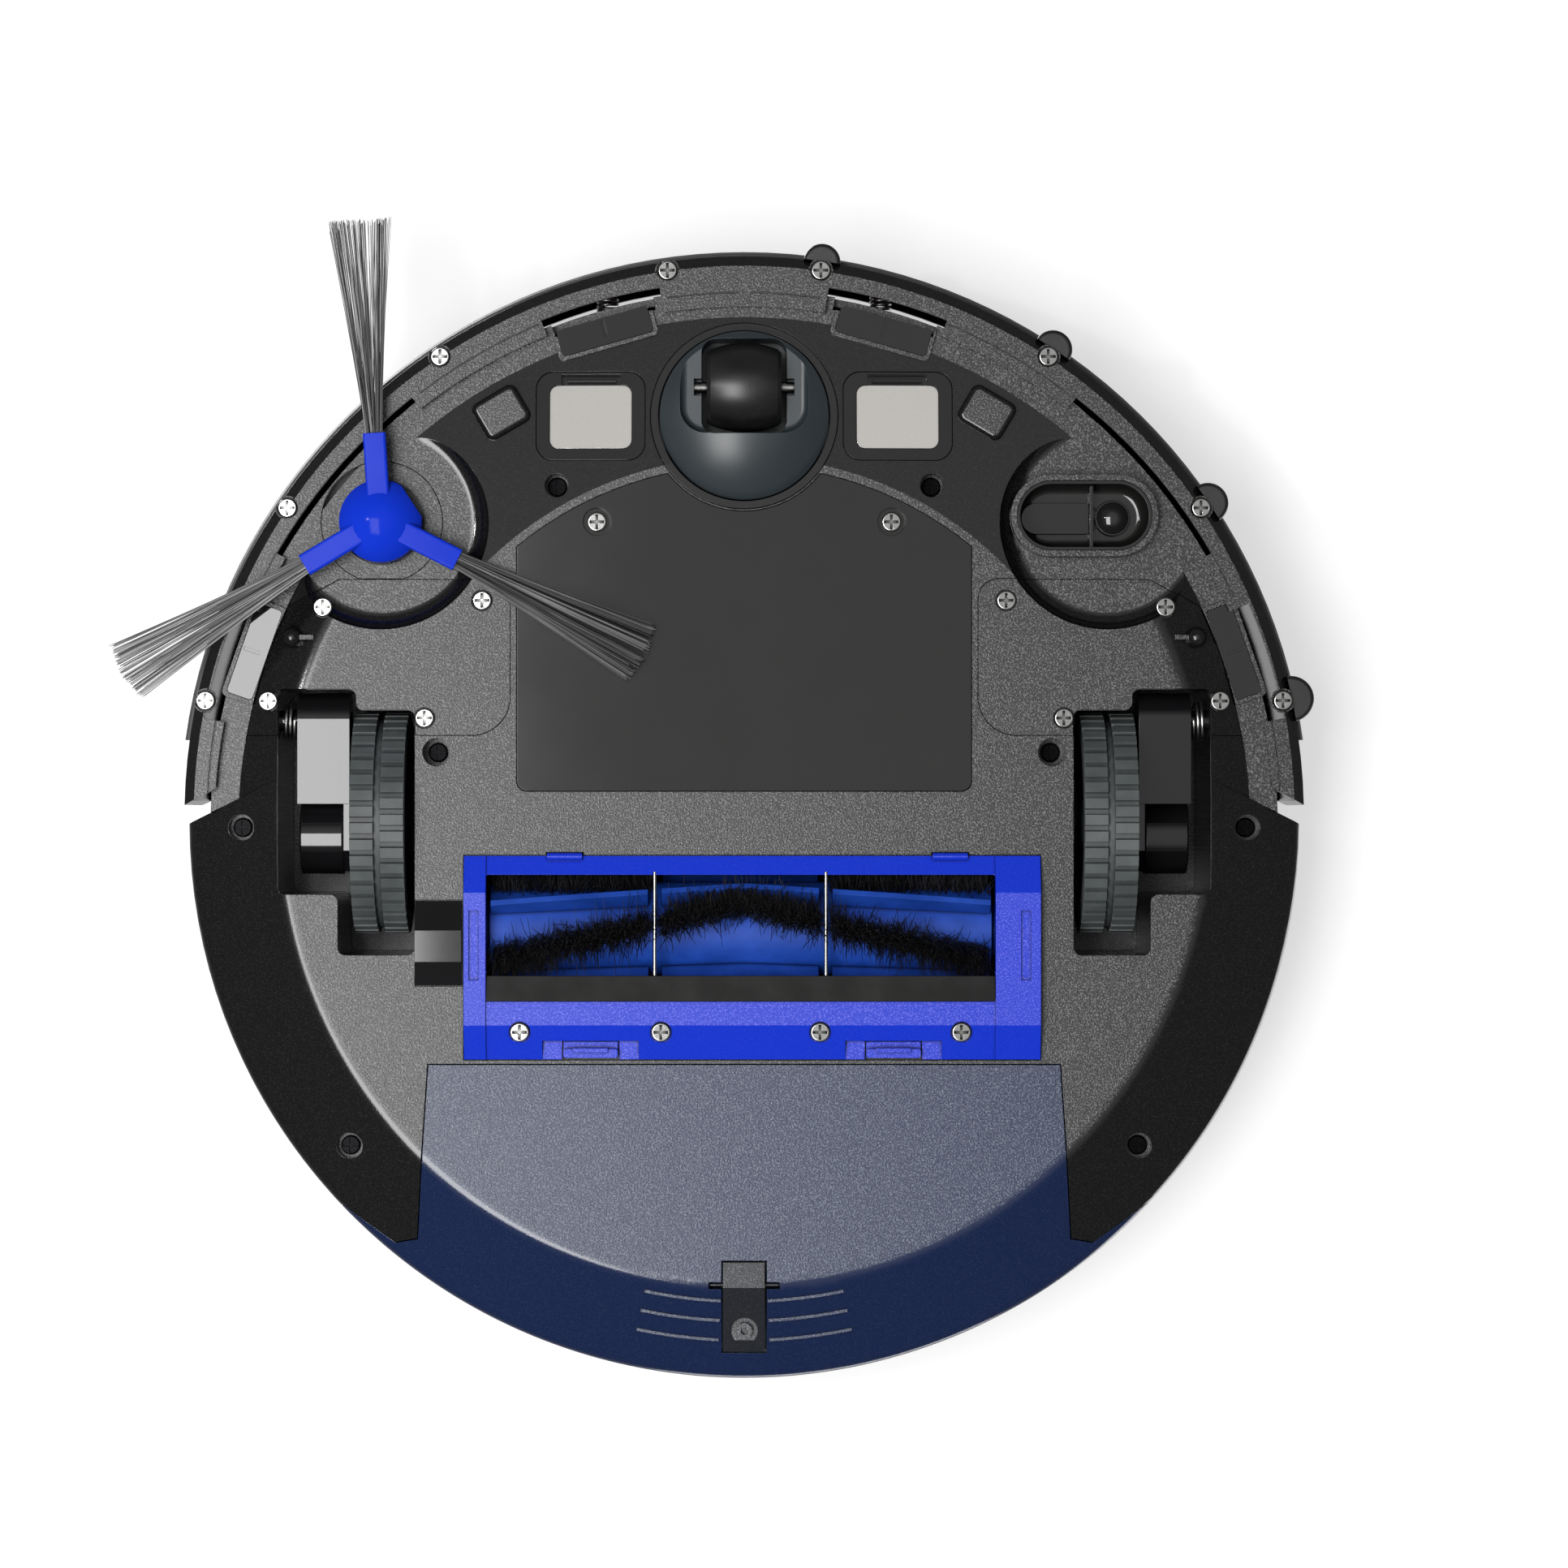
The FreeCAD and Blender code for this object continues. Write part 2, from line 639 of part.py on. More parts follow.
def upper_housing():
    outer = plan(REAR_R, FRONT_R, SEAM_Z, WALL_TOP_Z)
    inner = plan(REAR_R - WALL, FRONT_R - WALL, SEAM_Z - 1, WALL_TOP_Z + 1, WALL)
    bay_outer = bay(2.4, SEAM_Z, BIN_TOP_Z + 2.6).common(outer)
    housing = fuse_all(outer.cut(inner), [bay_outer])
    tools = [bay(GAP, SEAM_Z - 1, BIN_TOP_Z + 0.6), block(-62.2, 62.2, 60, 75, SEAM_Z - 1, 46.2)]
    return cut_all(housing, tools + exhaust_slots())


def top_cover():
    outer = plan(REAR_R, FRONT_R, WALL_TOP_Z, COVER_TOP_Z)
    outer = outer.makeFillet(2.6, edges_at(outer, COVER_TOP_Z))
    inner = plan(REAR_R - WALL, FRONT_R - WALL, WALL_TOP_Z - 1, 68.6, WALL)
    recess = disc(0, 0, 112.3, 69.9, 80)
    button = disc(0, -72, 10.3, 60, 80)
    return cut_all(outer, [inner.cut(disc(0, -72, 13.0, 0, 100)), recess, button])


def top_panel():
    panel = disc(0, 0, 112.0, 69.9, PANEL_TOP_Z)
    panel = panel.makeFillet(0.8, edges_at(panel, PANEL_TOP_Z))
    groove = turned([(96, 71.5), (97, 71.5), (97, 80), (96, 80)])
    return cut_all(panel, [disc(0, -72, 10.3, 60, 80), groove])


def power_button():
    cap = disc(0, -72, 10.0, 67.6, PANEL_TOP_Z)
    cap = cap.makeFillet(0.7, edges_at(cap, PANEL_TOP_Z))
    dished = Part.makeSphere(60.0, V(0, -72, PANEL_TOP_Z + 59.5))
    return cap.cut(dished)


# ---------------------------------------------------------------- bumper

LIP_EDGES = ((0, 9, 148.3), (9, 22, 155.7), (22, 38, 150.9), (38, 60, 155.0), (60, 66.5, 152.0),
             (66.5, 79, 158.0), (79, 95, 152.0))


LIP_GROOVE = (1.8, 2.2, 0.35)


def lip_grooves():
    """A fine line that follows the lip's notched inner edge."""
    grooves = []
    near, far, depth = LIP_GROOVE
    for a0, a1, edge_r in LIP_EDGES:
        groove = ring_sector(edge_r + near, edge_r + far, a0 + 0.6, a1 - 0.6, LIP_Z - 1, LIP_Z + depth, BUMPER_Y)
        if edge_r < 155:
            grooves += both(groove)
    return grooves


def bumper_region():
    """Everything in front of the bumper's two slanted ends."""
    right = [(140.0, -15.8), (175.0, 1.9), (FAR, -FAR)]
    left = [(-x, y) for x, y in reversed(right)]
    return prism(right + left, 0, 90)


def bumper_at(angle, radius):
    return polar(angle, radius, BUMPER_Y)


def bumper_shell():
    r = BUMPER_R
    wall_in = r - BUMPER_WALL
    profile = [(144.0, LIP_Z), (r - 3.0, LIP_Z), (r, LIP_Z + 3.2), (r, BUMPER_TOP_Z - 3), (r - 0.9, BUMPER_TOP_Z - 0.9),
               (r - 3.0, BUMPER_TOP_Z), (r - 4.0, BUMPER_TOP_Z), (r - 4.0, BUMPER_TOP_Z - 2.0),
               (wall_in, BUMPER_TOP_Z - 2.6), (wall_in, LIP_TOP_Z), (144.0, LIP_TOP_Z)]
    shell = turned(profile, 0, BUMPER_Y).common(bumper_region())
    notches = []
    seats = []
    bosses = []
    for a0, a1, edge_r in LIP_EDGES:
        notch = ring_sector(136.0, edge_r, a0 - 0.02, a1, LIP_Z - 2, LIP_TOP_Z + 0.5)
        notches += both(notch)
    for angle in BUMPER_SCREW_ANGLES:
        x, y = bumper_at(angle, BUMPER_SCREW_R)
        bosses += both(disc(x, y, 2.4, LIP_Z, 26).common(disc(0, BUMPER_Y, BUMPER_R, LIP_Z, 26)))
        bosses += both(disc(x, y, 3.5, LIP_Z + 0.4, BOSS_TOP_Z).common(disc(0, BUMPER_Y, BUMPER_R, LIP_Z, BOSS_TOP_Z)))
        seats += both(screw_seat(x, y, LIP_Z + 0.1, 9))
    shell = cut_all(shell, notches + lip_grooves())
    shell = fuse_all(shell, bosses)
    opening = ring_sector(150.0, 170.0, -WINDOW_ANGLE, WINDOW_ANGLE, WINDOW_Z[0], WINDOW_Z[1], BUMPER_Y)
    return cut_all(shell, seats + [opening])


def bumper_screws():
    screws = []
    for angle in BUMPER_SCREW_ANGLES:
        x, y = bumper_at(angle, BUMPER_SCREW_R)
        screws += both(screw(x, y, LIP_Z + 0.1, 9))
    return Part.makeCompound(screws)


def ir_window():
    return ring_sector(BUMPER_R - BUMPER_WALL, BUMPER_R + 0.2, -WINDOW_ANGLE + 0.05, WINDOW_ANGLE - 0.05,
                       WINDOW_Z[0] + 0.05, WINDOW_Z[1] - 0.05, BUMPER_Y)


def rub_strip():
    z0, z1 = RUB_Z
    mid = (z0 + z1) / 2
    profile = [(BUMPER_R, z0), (RUB_R - 0.8, z0), (RUB_R, mid - 1.4), (RUB_R, mid + 1.4), (RUB_R - 0.8, z1),
               (BUMPER_R, z1)]
    ring = turned(profile, 0, BUMPER_Y)
    return ring.common(block(-FAR, FAR, -FAR, -24.0, 0, 60))


def rub_buffers():
    """Four half-round rubber buffers on the +X side, at the bumper screws' angles."""
    buffers = []
    for angle, radius in zip(BUMPER_SCREW_ANGLES, (5.3, 5.6, 5.9, 6.6)):
        x, y = bumper_at(angle, BUMPER_R - 0.2)
        half = disc(x, y, radius, 14.0, 21.5)
        half = half.makeFillet(1.2, edges_at(half, 14.0))
        buffers.append(half.cut(disc(0, BUMPER_Y, BUMPER_R, 0, 40)))
    return Part.makeCompound(buffers)


def bumper_springs():
    spring = coil(2.8, 0.45, 1.25, 3.6)
    spring.rotate(V(0, 0, 0), ALONG_X, 90)
    springs = []
    for x in (-40, 40):
        copy = spring.copy()
        copy.translate(V(x, -149.6, 46))
        springs.append(copy)
    return Part.makeCompound(springs)


# ---------------------------------------------------------------- caster

def caster_seat():
    cup = disc(0, CASTER_Y, 26.8, 0, 31).cut(disc(0, CASTER_Y, 24.7, 0, 29))
    cup = cup.common(envelope(-0.6, 40))
    boss = disc(0, CASTER_Y, 8.0, 29, 46)
    return fuse_all(cup, [boss]).cut(disc(0, CASTER_Y, 4.0 + RUNNING, 20, 44))


def caster_housing():
    rise = 7.5
    low = 4.0
    ball_r = (CASTER_R ** 2 + rise ** 2) / (2 * rise)
    ball = Part.makeSphere(ball_r, V(0, CASTER_Y, low + ball_r))
    dome = disc(0, CASTER_Y, CASTER_R, low - 1, 28.4).common(ball.fuse(disc(0, CASTER_Y, CASTER_R, low + rise, 28.4)))
    stem = disc(0, CASTER_Y, 4.0, 28, 43.6)
    shallow = round_box(-18.4, 18.4, -138.6, -111.6, 0, 10.5, 7.5)
    shallow = shallow.makeFillet(2.0, edges_at(shallow, 10.5))
    deep = round_box(-12.2, 12.2, -138.9, -111.4, 0, 26.8, 4.0)
    axle_slots = block(-14.4, 14.4, CASTER_AXLE_Y - 2.4, CASTER_AXLE_Y + 2.4, 0, 15.6)
    axle = bar_x(-16.0, 16.0, CASTER_AXLE_Y, CASTER_WHEEL_R, 1.6)
    return fuse_all(dome, [stem]).cut([shallow, deep, axle_slots, axle])


def caster_axle():
    return bar_x(-15.9, 15.9, CASTER_AXLE_Y, CASTER_WHEEL_R, 1.6 - 0.02)


def caster_wheel():
    half = CASTER_WHEEL_W / 2
    sphere_r = 33.0
    ball = Part.makeSphere(sphere_r, V(0, 0, 0))
    ends = CASTER_WHEEL_R - 1.9
    profile = [(-half, 0), (-half, ends - 1.0), (-half + 1.0, ends)]
    steps = 8
    for i in range(1, steps):
        x = -half + 1.0 + (CASTER_WHEEL_W - 2.0) * i / steps
        profile.append((x, ends + 1.9 * (1 - (x / (half - 1.0)) ** 2)))
    profile += [(half - 1.0, ends), (half, ends - 1.0), (half, 0)]
    points = [V(x, CASTER_AXLE_Y, CASTER_WHEEL_R + r) for x, r in profile]
    crown = Part.BSplineCurve()
    crown.interpolate(points[2:-2])
    edges = [Part.LineSegment(points[0], points[1]).toShape(), Part.LineSegment(points[1], points[2]).toShape(),
             crown.toShape(), Part.LineSegment(points[-3], points[-2]).toShape(),
             Part.LineSegment(points[-2], points[-1]).toShape(), Part.LineSegment(points[-1], points[0]).toShape()]
    barrel = Part.Face(Part.Wire(edges)).revolve(V(0, CASTER_AXLE_Y, CASTER_WHEEL_R), ALONG_X, 360)
    return barrel.cut(bar_x(-20, 20, CASTER_AXLE_Y, CASTER_WHEEL_R, 1.6 + RUNNING))


# ---------------------------------------------------------------- side brush

def side_brush_gearbox():
    """Ring plate in the dish floor with the gearbox and motor above it."""
    x = -DISH_X
    plate = disc(x, DISH_Y, 17.4, DISH_FLOOR_Z, 18.6).cut(disc(x, DISH_Y, 12.2, 0, 18.6))
    case = disc(x, DISH_Y, 17.4, 18.6, 30)
    motor = disc(x + 4, DISH_Y + 2, 11.0, 30, 48)
    room = disc(0, 0, FRONT_R - WALL - GAP, 0, 60).common(block(-FAR, 0, -FAR, WHEEL_COVER_Y - GAP, 0, 60))
    gearbox = fuse_all(plate, [case, motor]).common(room)
    return gearbox.cut(disc(x, DISH_Y, 2.5 + RUNNING, 10, 29))


def side_brush_shaft():
    return disc(-DISH_X, DISH_Y, 2.5, 12.0, 28.0)


def brush_arm(angle):
    """One arm, built pointing forwards and swung about the hub."""
    arm = block(-ARM_W / 2, ARM_W / 2, -ARM_R, -6.0, 5.0, 8.6)
    arm = arm.makeFillet(0.7, [e for e in arm.Edges if e.BoundBox.YLength > 5])
    arm.rotate(V(0, 0, 0), UP, angle)
    arm.translate(V(-DISH_X, DISH_Y, 0))
    return arm


def side_brush_hub():
    x = -DISH_X
    low = 2.8
    rise = 6.0
    ball_r = (HUB_R ** 2 + rise ** 2) / (2 * rise)
    ball = Part.makeSphere(ball_r, V(x, DISH_Y, low + ball_r))
    dome = disc(x, DISH_Y, HUB_R, 0, low + rise).common(ball)
    skirt = disc(x, DISH_Y, HUB_R, low + rise, 17.8)
    hub = fuse_all(dome, [skirt] + [brush_arm(a) for a in ARM_ANGLES])
    flat = block(-20, 20, -30, -10.6, 0, 20)
    flat.rotate(V(0, 0, 0), UP, 56.8)
    flat.translate(V(x, DISH_Y, 0))
    flat = flat.cut([disc(x, DISH_Y, 60, 0, 30).cut(disc(x, DISH_Y, HUB_R + 0.01, 0, 30))])
    return hub.cut([flat.cut([brush_arm(a) for a in ARM_ANGLES]), disc(x, DISH_Y, 2.5, 12.0, 20)])


def side_brush_bristles():
    """Each bundle as one plain closed fan that slopes down to the floor."""
    fans = []
    for angle in ARM_ANGLES:
        sections = []
        for r, width, z0, z1 in ((ARM_R + 0.05, 5.0, 5.4, 8.0), (BRISTLE_R, 18.0, 1.2, 3.0)):
            corners = [V(-width / 2, -r, z0), V(width / 2, -r, z0), V(width / 2, -r, z1), V(-width / 2, -r, z1)]
            sections.append(Part.makePolygon(corners + corners[:1]))
        fan = Part.makeLoft(sections, True, True)
        fan.rotate(V(0, 0, 0), UP, angle)
        fan.translate(V(-DISH_X, DISH_Y, 0))
        fans.append(fan)
    return Part.makeCompound(fans)


# ---------------------------------------------------------------- drive wheels

def lug_ring(x0, x1, phase):
    """A toothed ring about the wheel's axle."""
    outline = []
    pitch = 360.0 / LUG_COUNT
    low = WHEEL_R - LUG_HEIGHT
    for i in range(LUG_COUNT):
        for part, radius in ((0.00, WHEEL_R), (0.62, WHEEL_R), (0.66, low), (0.96, low)):
            a = math.radians(pitch * (i + part + phase))
            outline.append((radius * math.cos(a), WHEEL_R + radius * math.sin(a)))
    return prism_x(outline, x0, x1)


def wheel_tyre(side):
    x0 = WHEEL_X - WHEEL_WIDTH / 2
    x1 = WHEEL_X + WHEEL_WIDTH / 2
    half = (WHEEL_WIDTH - GROOVE) / 2
    rings = [lug_ring(x0, x0 + half, 0.0), lug_ring(x1 - half, x1, 0.5)]
    tyre = fuse_all(bar_x(x0 + half, x1 - half, 0, WHEEL_R, WHEEL_R - LUG_HEIGHT - 0.6), rings)
    tyre = tyre.cut(bar_x(x0 - 1, x1 + 1, 0, WHEEL_R, 25.0))
    return tyre if side > 0 else mirrored(tyre)


def wheel_hub(side):
    x0 = WHEEL_X - WHEEL_WIDTH / 2
    x1 = WHEEL_X + WHEEL_WIDTH / 2
    rim = turned_x([(x0 + 0.6, 0), (x0 + 0.6, 6), (x0 + 3, 8), (x0 + 3, 20), (x0 + 0.8, 22), (x0 + 0.8, 25),
                    (x1 - 0.6, 25), (x1 - 0.6, 0)], 0, WHEEL_R)
    holes = []
    for i in range(6):
        a = math.radians(60 * i)
        holes.append(bar_x(x0 - 1, x0 + 6, 14 * math.cos(a), WHEEL_R + 14 * math.sin(a), 3.6))
    hub = fuse_all(rim, [bar_x(x1 - 1, 115.4, 0, WHEEL_R, 3.0)]).cut(holes)
    return hub if side > 0 else mirrored(hub)


def wheel_arm(side):
    """Gear case and arm: pivots at its front end and carries the wheel's axle."""
    z = PIVOT_Z
    outline = [(PIVOT_Y, z - 8), (-5.5, z - 8), (-5.5, 42), (-14, 44), (PIVOT_Y, z + 8)]
    body = prism_x(outline, 113.5, 128.6)
    boss = bar_x(113.5, 128.6, PIVOT_Y, z, 8.0)
    plate = prism_x([(-6, 20.0), (8, 20.0), (14, 26), (14, 38), (8, 43), (-6, 43)], 113.5, 115.6)
    stub = bar_x(128.6, 139.0, PIVOT_Y, z, 3.0)
    arm = fuse_all(body, [boss, plate, stub])
    arm = arm.cut([bar_x(110, 120, 0, WHEEL_R, 3.0 + RUNNING), bar_x(115.6, 128.6, 4.0, WHEEL_R, 10.9)])
    return arm if side > 0 else mirrored(arm)


def wheel_motor(side):
    motor = bar_x(115.7, 128.4, 4.0, WHEEL_R, 10.8)
    caps = motor.Edges
    motor = motor.makeFillet(0.6, [e for e in caps if e.BoundBox.XLength < 0.01])
    return motor if side > 0 else mirrored(motor)


def wheel_springs():
    """Torsion springs round the arm pivots, between each arm and its well wall."""
    spring = coil(5.2, 0.5, 1.25, 2.6)
    spring.rotate(V(0, 0, 0), ALONG_Y, 90)
    spring.translate(V(129.5, PIVOT_Y, PIVOT_Z))
    return Part.makeCompound(both(spring))


# ---------------------------------------------------------------- main brush

BLADE_SPANS = ((-72.5, -27.6), (-23.6, 0.0), (0.0, 21.4), (25.4, 70.5))


def chevron(x, mid, ends):
    return mid + (ends - mid) * abs(x) / 72.0


def rib(x0, x1, mid, ends, turn, thick, r_in, r_out):
    """A twisted rib on the core. Angles are from straight down towards the rear."""
    sections = []
    steps = 4
    for i in range(steps + 1):
        x = x0 + (x1 - x0) * i / steps
        a = math.radians(chevron(x, mid, ends) + turn)
        out_y, out_z = math.sin(a), -math.cos(a)
        side_y, side_z = math.cos(a), math.sin(a)
        corners = []
        for r, s in ((r_in, -1), (r_out, -1), (r_out, 1), (r_in, 1)):
            h = s * thick / 2
            corners.append(V(x, BRUSH_Y + r * out_y + h * side_y, BRUSH_Z + r * out_z + h * side_z))
        sections.append(Part.makePolygon(corners + corners[:1]))
    return Part.makeLoft(sections, True, False)


def main_brush_core():
    core = bar_x(-73.0, 71.0, BRUSH_Y, BRUSH_Z, BRUSH_CORE_R)
    axle = bar_x(-80.5, 85.0, BRUSH_Y, BRUSH_Z, 3.0)
    collars = [bar_x(-77.5, -73.0, BRUSH_Y, BRUSH_Z, 8.0), bar_x(71.0, 80.0, BRUSH_Y, BRUSH_Z, 8.0)]
    return fuse_all(core, [axle] + collars)


def main_brush_blades():
    ribs = []
    for mid, ends in ((-38.0, -22.0), (50.0, 66.0)):
        for turn in (0.0, 180.0):
            for x0, x1 in BLADE_SPANS:
                ribs.append(rib(x0, x1, mid, ends, turn, 1.6, BRUSH_CORE_R + 0.1, 20.5))
    return Part.makeCompound(ribs)


def main_brush_bristles():
    ribs = []
    for turn in (0.0, 180.0):
        for x0, x1 in BLADE_SPANS:
            ribs.append(rib(x0, x1, -26.0, 32.0, turn, 2.2, BRUSH_CORE_R + 0.15, BRUSH_R))
    return Part.makeCompound(ribs)


def brush_gearbox_cover():
    profile = [(22.3, 11.0), (22.3, 9.6), (30.7, 5.6), (39.7, 5.6), (46.5, 9.6), (46.5, 11.0)]
    cover = prism_x(profile, -94.2, -80.8)
    case = prism_x([(25.0, 13.0), (43.0, 13.0), (43.0, 44.0), (25.0, 44.0)], -92.2, -82.6)
    neck = block(-92.2, -82.6, 26.0, 42.0, 11.0, 13.0)
    return fuse_all(cover, [case.cut(bar_x(-95, -75, BRUSH_Y, BRUSH_Z, 3.2)), neck])


def brush_motor():
    can = bar_x(-126.0, -96.0, 60.0, 34.0, 13.0)
    nose = bar_x(-96.0, -93.0, 60.0, 34.0, 4.0)
    feet = [block(-122, -100, 50, 70, 16.0, 24)]
    return fuse_all(can, [nose] + feet)


# ---------------------------------------------------------------- brush guard

def guard_body_cutters():
    x0, x1 = MOUTH_X
    y0, y1 = MOUTH_Y
    mouth = round_box(x0, x1, y0, y1, 0, 20, 0.8)
    sweep = bar_x(x0, x1, BRUSH_Y, BRUSH_Z, BRUSH_R + 0.8)
    shaft_room = bar_x(GUARD_X[0] - 1, GUARD_X[1] + 1, BRUSH_Y, BRUSH_Z, 15.0)
    scraper = block(x0, x1, y1 - 0.1, 51.0, 0, 20)
    under = block(x0 + 2, x1 - 2, 53.0, 66.0, 9.5, 20)
    slots = [block(-78.7, -75.9, 25.0, 44.9, 0, 6.1), block(79.2, 82.0, 25.0, 44.9, 0, 6.1)]
    pockets = [block(x - 13.8, x + 13.8, 62.3, 70, 0, 9.4) for x in LATCH_X]
    return [mouth, sweep, shaft_room, scraper, under] + slots + pockets


def guard_latch_rooms():
    return [block(x - 8.2, x + 8.2, 58.0, 70, 9.3, 20) for x in LATCH_X]


def brush_guard():
    x0, x1 = GUARD_X
    body = prism_x(guard_profile(0), MOUTH_X[0], MOUTH_X[1])
    end_profile = [(y, z - 0.5 if z < 11 else z) for y, z in guard_profile(0)]
    ends = [prism_x(end_profile, x0, MOUTH_X[0]), prism_x(end_profile, MOUTH_X[1], x1)]
    hooks = [bar_x(x - 5.0, x + 5.0, GUARD_HINGE[0], GUARD_HINGE[1], 1.1) for x in HOOK_X]
    posts = [disc(x, GUARD_SCREW_Y, 3.4, 8, 12.3) for x in GUARD_SCREW_X]
    guard = fuse_all(body, ends).cut(guard_body_cutters())
    guard = fuse_all(guard, posts + hooks)
    seats = [screw_seat(x, GUARD_SCREW_Y, GUARD_Z + 0.1, 6.0) for x in GUARD_SCREW_X]
    wire_holes = [wire_solid(x, 0.6) for x in WIRE_X]
    return guard.cut(seats + wire_holes + guard_latch_rooms())


def guard_screws():
    return Part.makeCompound([screw(x, GUARD_SCREW_Y, GUARD_Z + 0.1, 6.0) for x in GUARD_SCREW_X])


def wire_solid(x, radius):
    return Part.makeCylinder(radius, 29.6, V(x, 14.0, 8.2), V(0, 1, -0.03))


def guard_wires():
    return Part.makeCompound([wire_solid(x, 0.6) for x in WIRE_X])


def guard_scraper():
    """Rubber wiping blade along the rear edge of the mouth."""
    x0, x1 = MOUTH_X
    outline = [(43.0, 6.9), (50.9, 5.6), (50.9, 11.0), (44.5, 11.0)]
    blade = prism_x(outline, x0 + 0.1, x1 - 0.1)
    tools = [bar_x(x0 - 1, x1 + 1, BRUSH_Y, BRUSH_Z, BRUSH_R + 0.8)]
    tools += [wire_solid(x, 0.65) for x in WIRE_X]
    return blade.cut(tools)


def guard_latch(x):
    """A sliding tab: finger lip in the rear pocket and a tongue above it."""
    finger = round_box(x - 7.8, x + 7.8, 64.6, 67.2, 7.2, 9.6, 0.8)
    tongue = block(x - 7.8, x + 7.8, 62.6, 67.2, 9.5, 11.6)
    lip = block(x - 5.0, x + 5.0, 64.4, 65.6, 6.6, 9.6)
    return fuse_all(tongue, [finger, lip])


# ---------------------------------------------------------------- dustbin

def dustbin():
    """Open-topped tub with the dirt inlet in its front wall and the latch pocket."""
    top = BIN_TOP_Z - 2.4
    outer = envelope(0, top).common(bay(0, 0, top))
    inner = envelope(BIN_WALL, top + 1).common(bay(-BIN_WALL, 0, top + 1))
    tub = outer.cut(inner)
    house = block(-10.8, 10.8, 122.8, 155.0, 11, 24).common(envelope(0, 24))
    ridges = []
    for radius in (137.2, 143.0, 148.8):
        rise = BASE_Z + (radius - FLAT_R) * (CHAMFER_Z - BASE_Z) / (REAR_R - FLAT_R)
        for a0, a1 in ((168.0, 177.2), (182.8, 192.0)):
            ridges.append(ring_sector(radius - 0.45, radius + 0.45, a0, a1, rise - 0.45, rise + 1.5))
    tub = fuse_all(tub, [house] + ridges)
    inlet = block(-50, 50, BIN_FRONT_Y - 1, BIN_FRONT_Y + 4, 20, 40)
    pocket = block(-6.5, 6.5, 125.4, 152.6, 0, 21)
    pins = bar_x(-10.2, 10.2, LATCH_PIN_Y, LATCH_PIN_Z, 0.95)
    pin_slots = block(-10.2, 10.2, LATCH_PIN_Y - 1.0, LATCH_PIN_Y + 1.0, 0, LATCH_PIN_Z)
    return cut_all(tub, [inlet, pocket, pins, pin_slots])


def dustbin_lid():
    lid = envelope(0, BIN_TOP_Z).common(bay(0, BIN_TOP_Z - 2.4, BIN_TOP_Z))
    rib_out = envelope(0, BIN_TOP_Z - 2.0).common(bay(-BIN_WALL - 0.3, BIN_TOP_Z - 4.0, BIN_TOP_Z - 2.0))
    rib_out = rib_out.common(disc(0, 0, REAR_R - BIN_WALL - WALL - 0.6, 0, 80))
    rib_in = bay(-BIN_WALL - 2.0, 0, 80).common(disc(0, 0, REAR_R - BIN_WALL - WALL - 2.4, 0, 80))
    return fuse_all(lid, [rib_out.cut(rib_in)])


def dustbin_filter():
    """A pleated filter under the lid."""
    frame = block(-44, 44, 82, 118, 45.7, 57.6)
    pleats = [block(-41, 41, 84 + 4.1 * i, 86 + 4.1 * i, 44, 55.6) for i in range(8)]
    return cut_all(frame, pleats)


def bin_latch():
    """Press strip that frees the dustbin, with its cross pins."""
    low = [(126.0, 11.2), (133.2, 10.4), (152.2, 17.0), (152.2, 19.2), (133.2, 14.8), (126.0, 14.8)]
    strip = prism_x(low, -6.1, 5.9)
    pins = bar_x(-9.9, 9.9, LATCH_PIN_Y, LATCH_PIN_Z, 0.9)
    recess = disc(0, 146.0, 3.9, 0, 15.8)
    ring = disc(0, 146.0, 2.4, 13.9, 16.5).cut(disc(0, 146.0, 1.0, 0, 15.6))
    return fuse_all(strip.cut(recess), [pins, ring])


# ---------------------------------------------------------------- fan

def fan_disc(radius, z0, z1):
    """A disc on the fan's axis, with heights above the fan's foot."""
    return disc(FAN_X, FAN_Y, radius, FAN_Z + z0, FAN_Z + z1)


def fan_housing():
    case = fan_disc(20.0, 0, 19.2).cut(fan_disc(18.2, 1.6, 17.6))
    return case.cut([fan_disc(8.0, -2, 2), fan_disc(4.0, 15, 22)])


def fan_motor():
    return fan_disc(12.0, 19.2, 37.2).cut(fan_disc(1.5 + RUNNING, 17, 32))


def fan_impeller():
    hub = fan_disc(5.0, 3.2, 14.7)
    plate = fan_disc(16.5, 13.2, 14.7)
    shaft = fan_disc(1.5, 14.7, 30.2)
    vanes = []
    for i in range(8):
        vane = block(FAN_X + 4.0, FAN_X + 16.0, FAN_Y - 0.6, FAN_Y + 0.6, FAN_Z + 4.2, FAN_Z + 13.2)
        vane.rotate(V(FAN_X, FAN_Y, 0), UP, 45 * i)
        vanes.append(vane)
    return fuse_all(hub, [plate, shaft] + vanes)


# ---------------------------------------------------------------- output

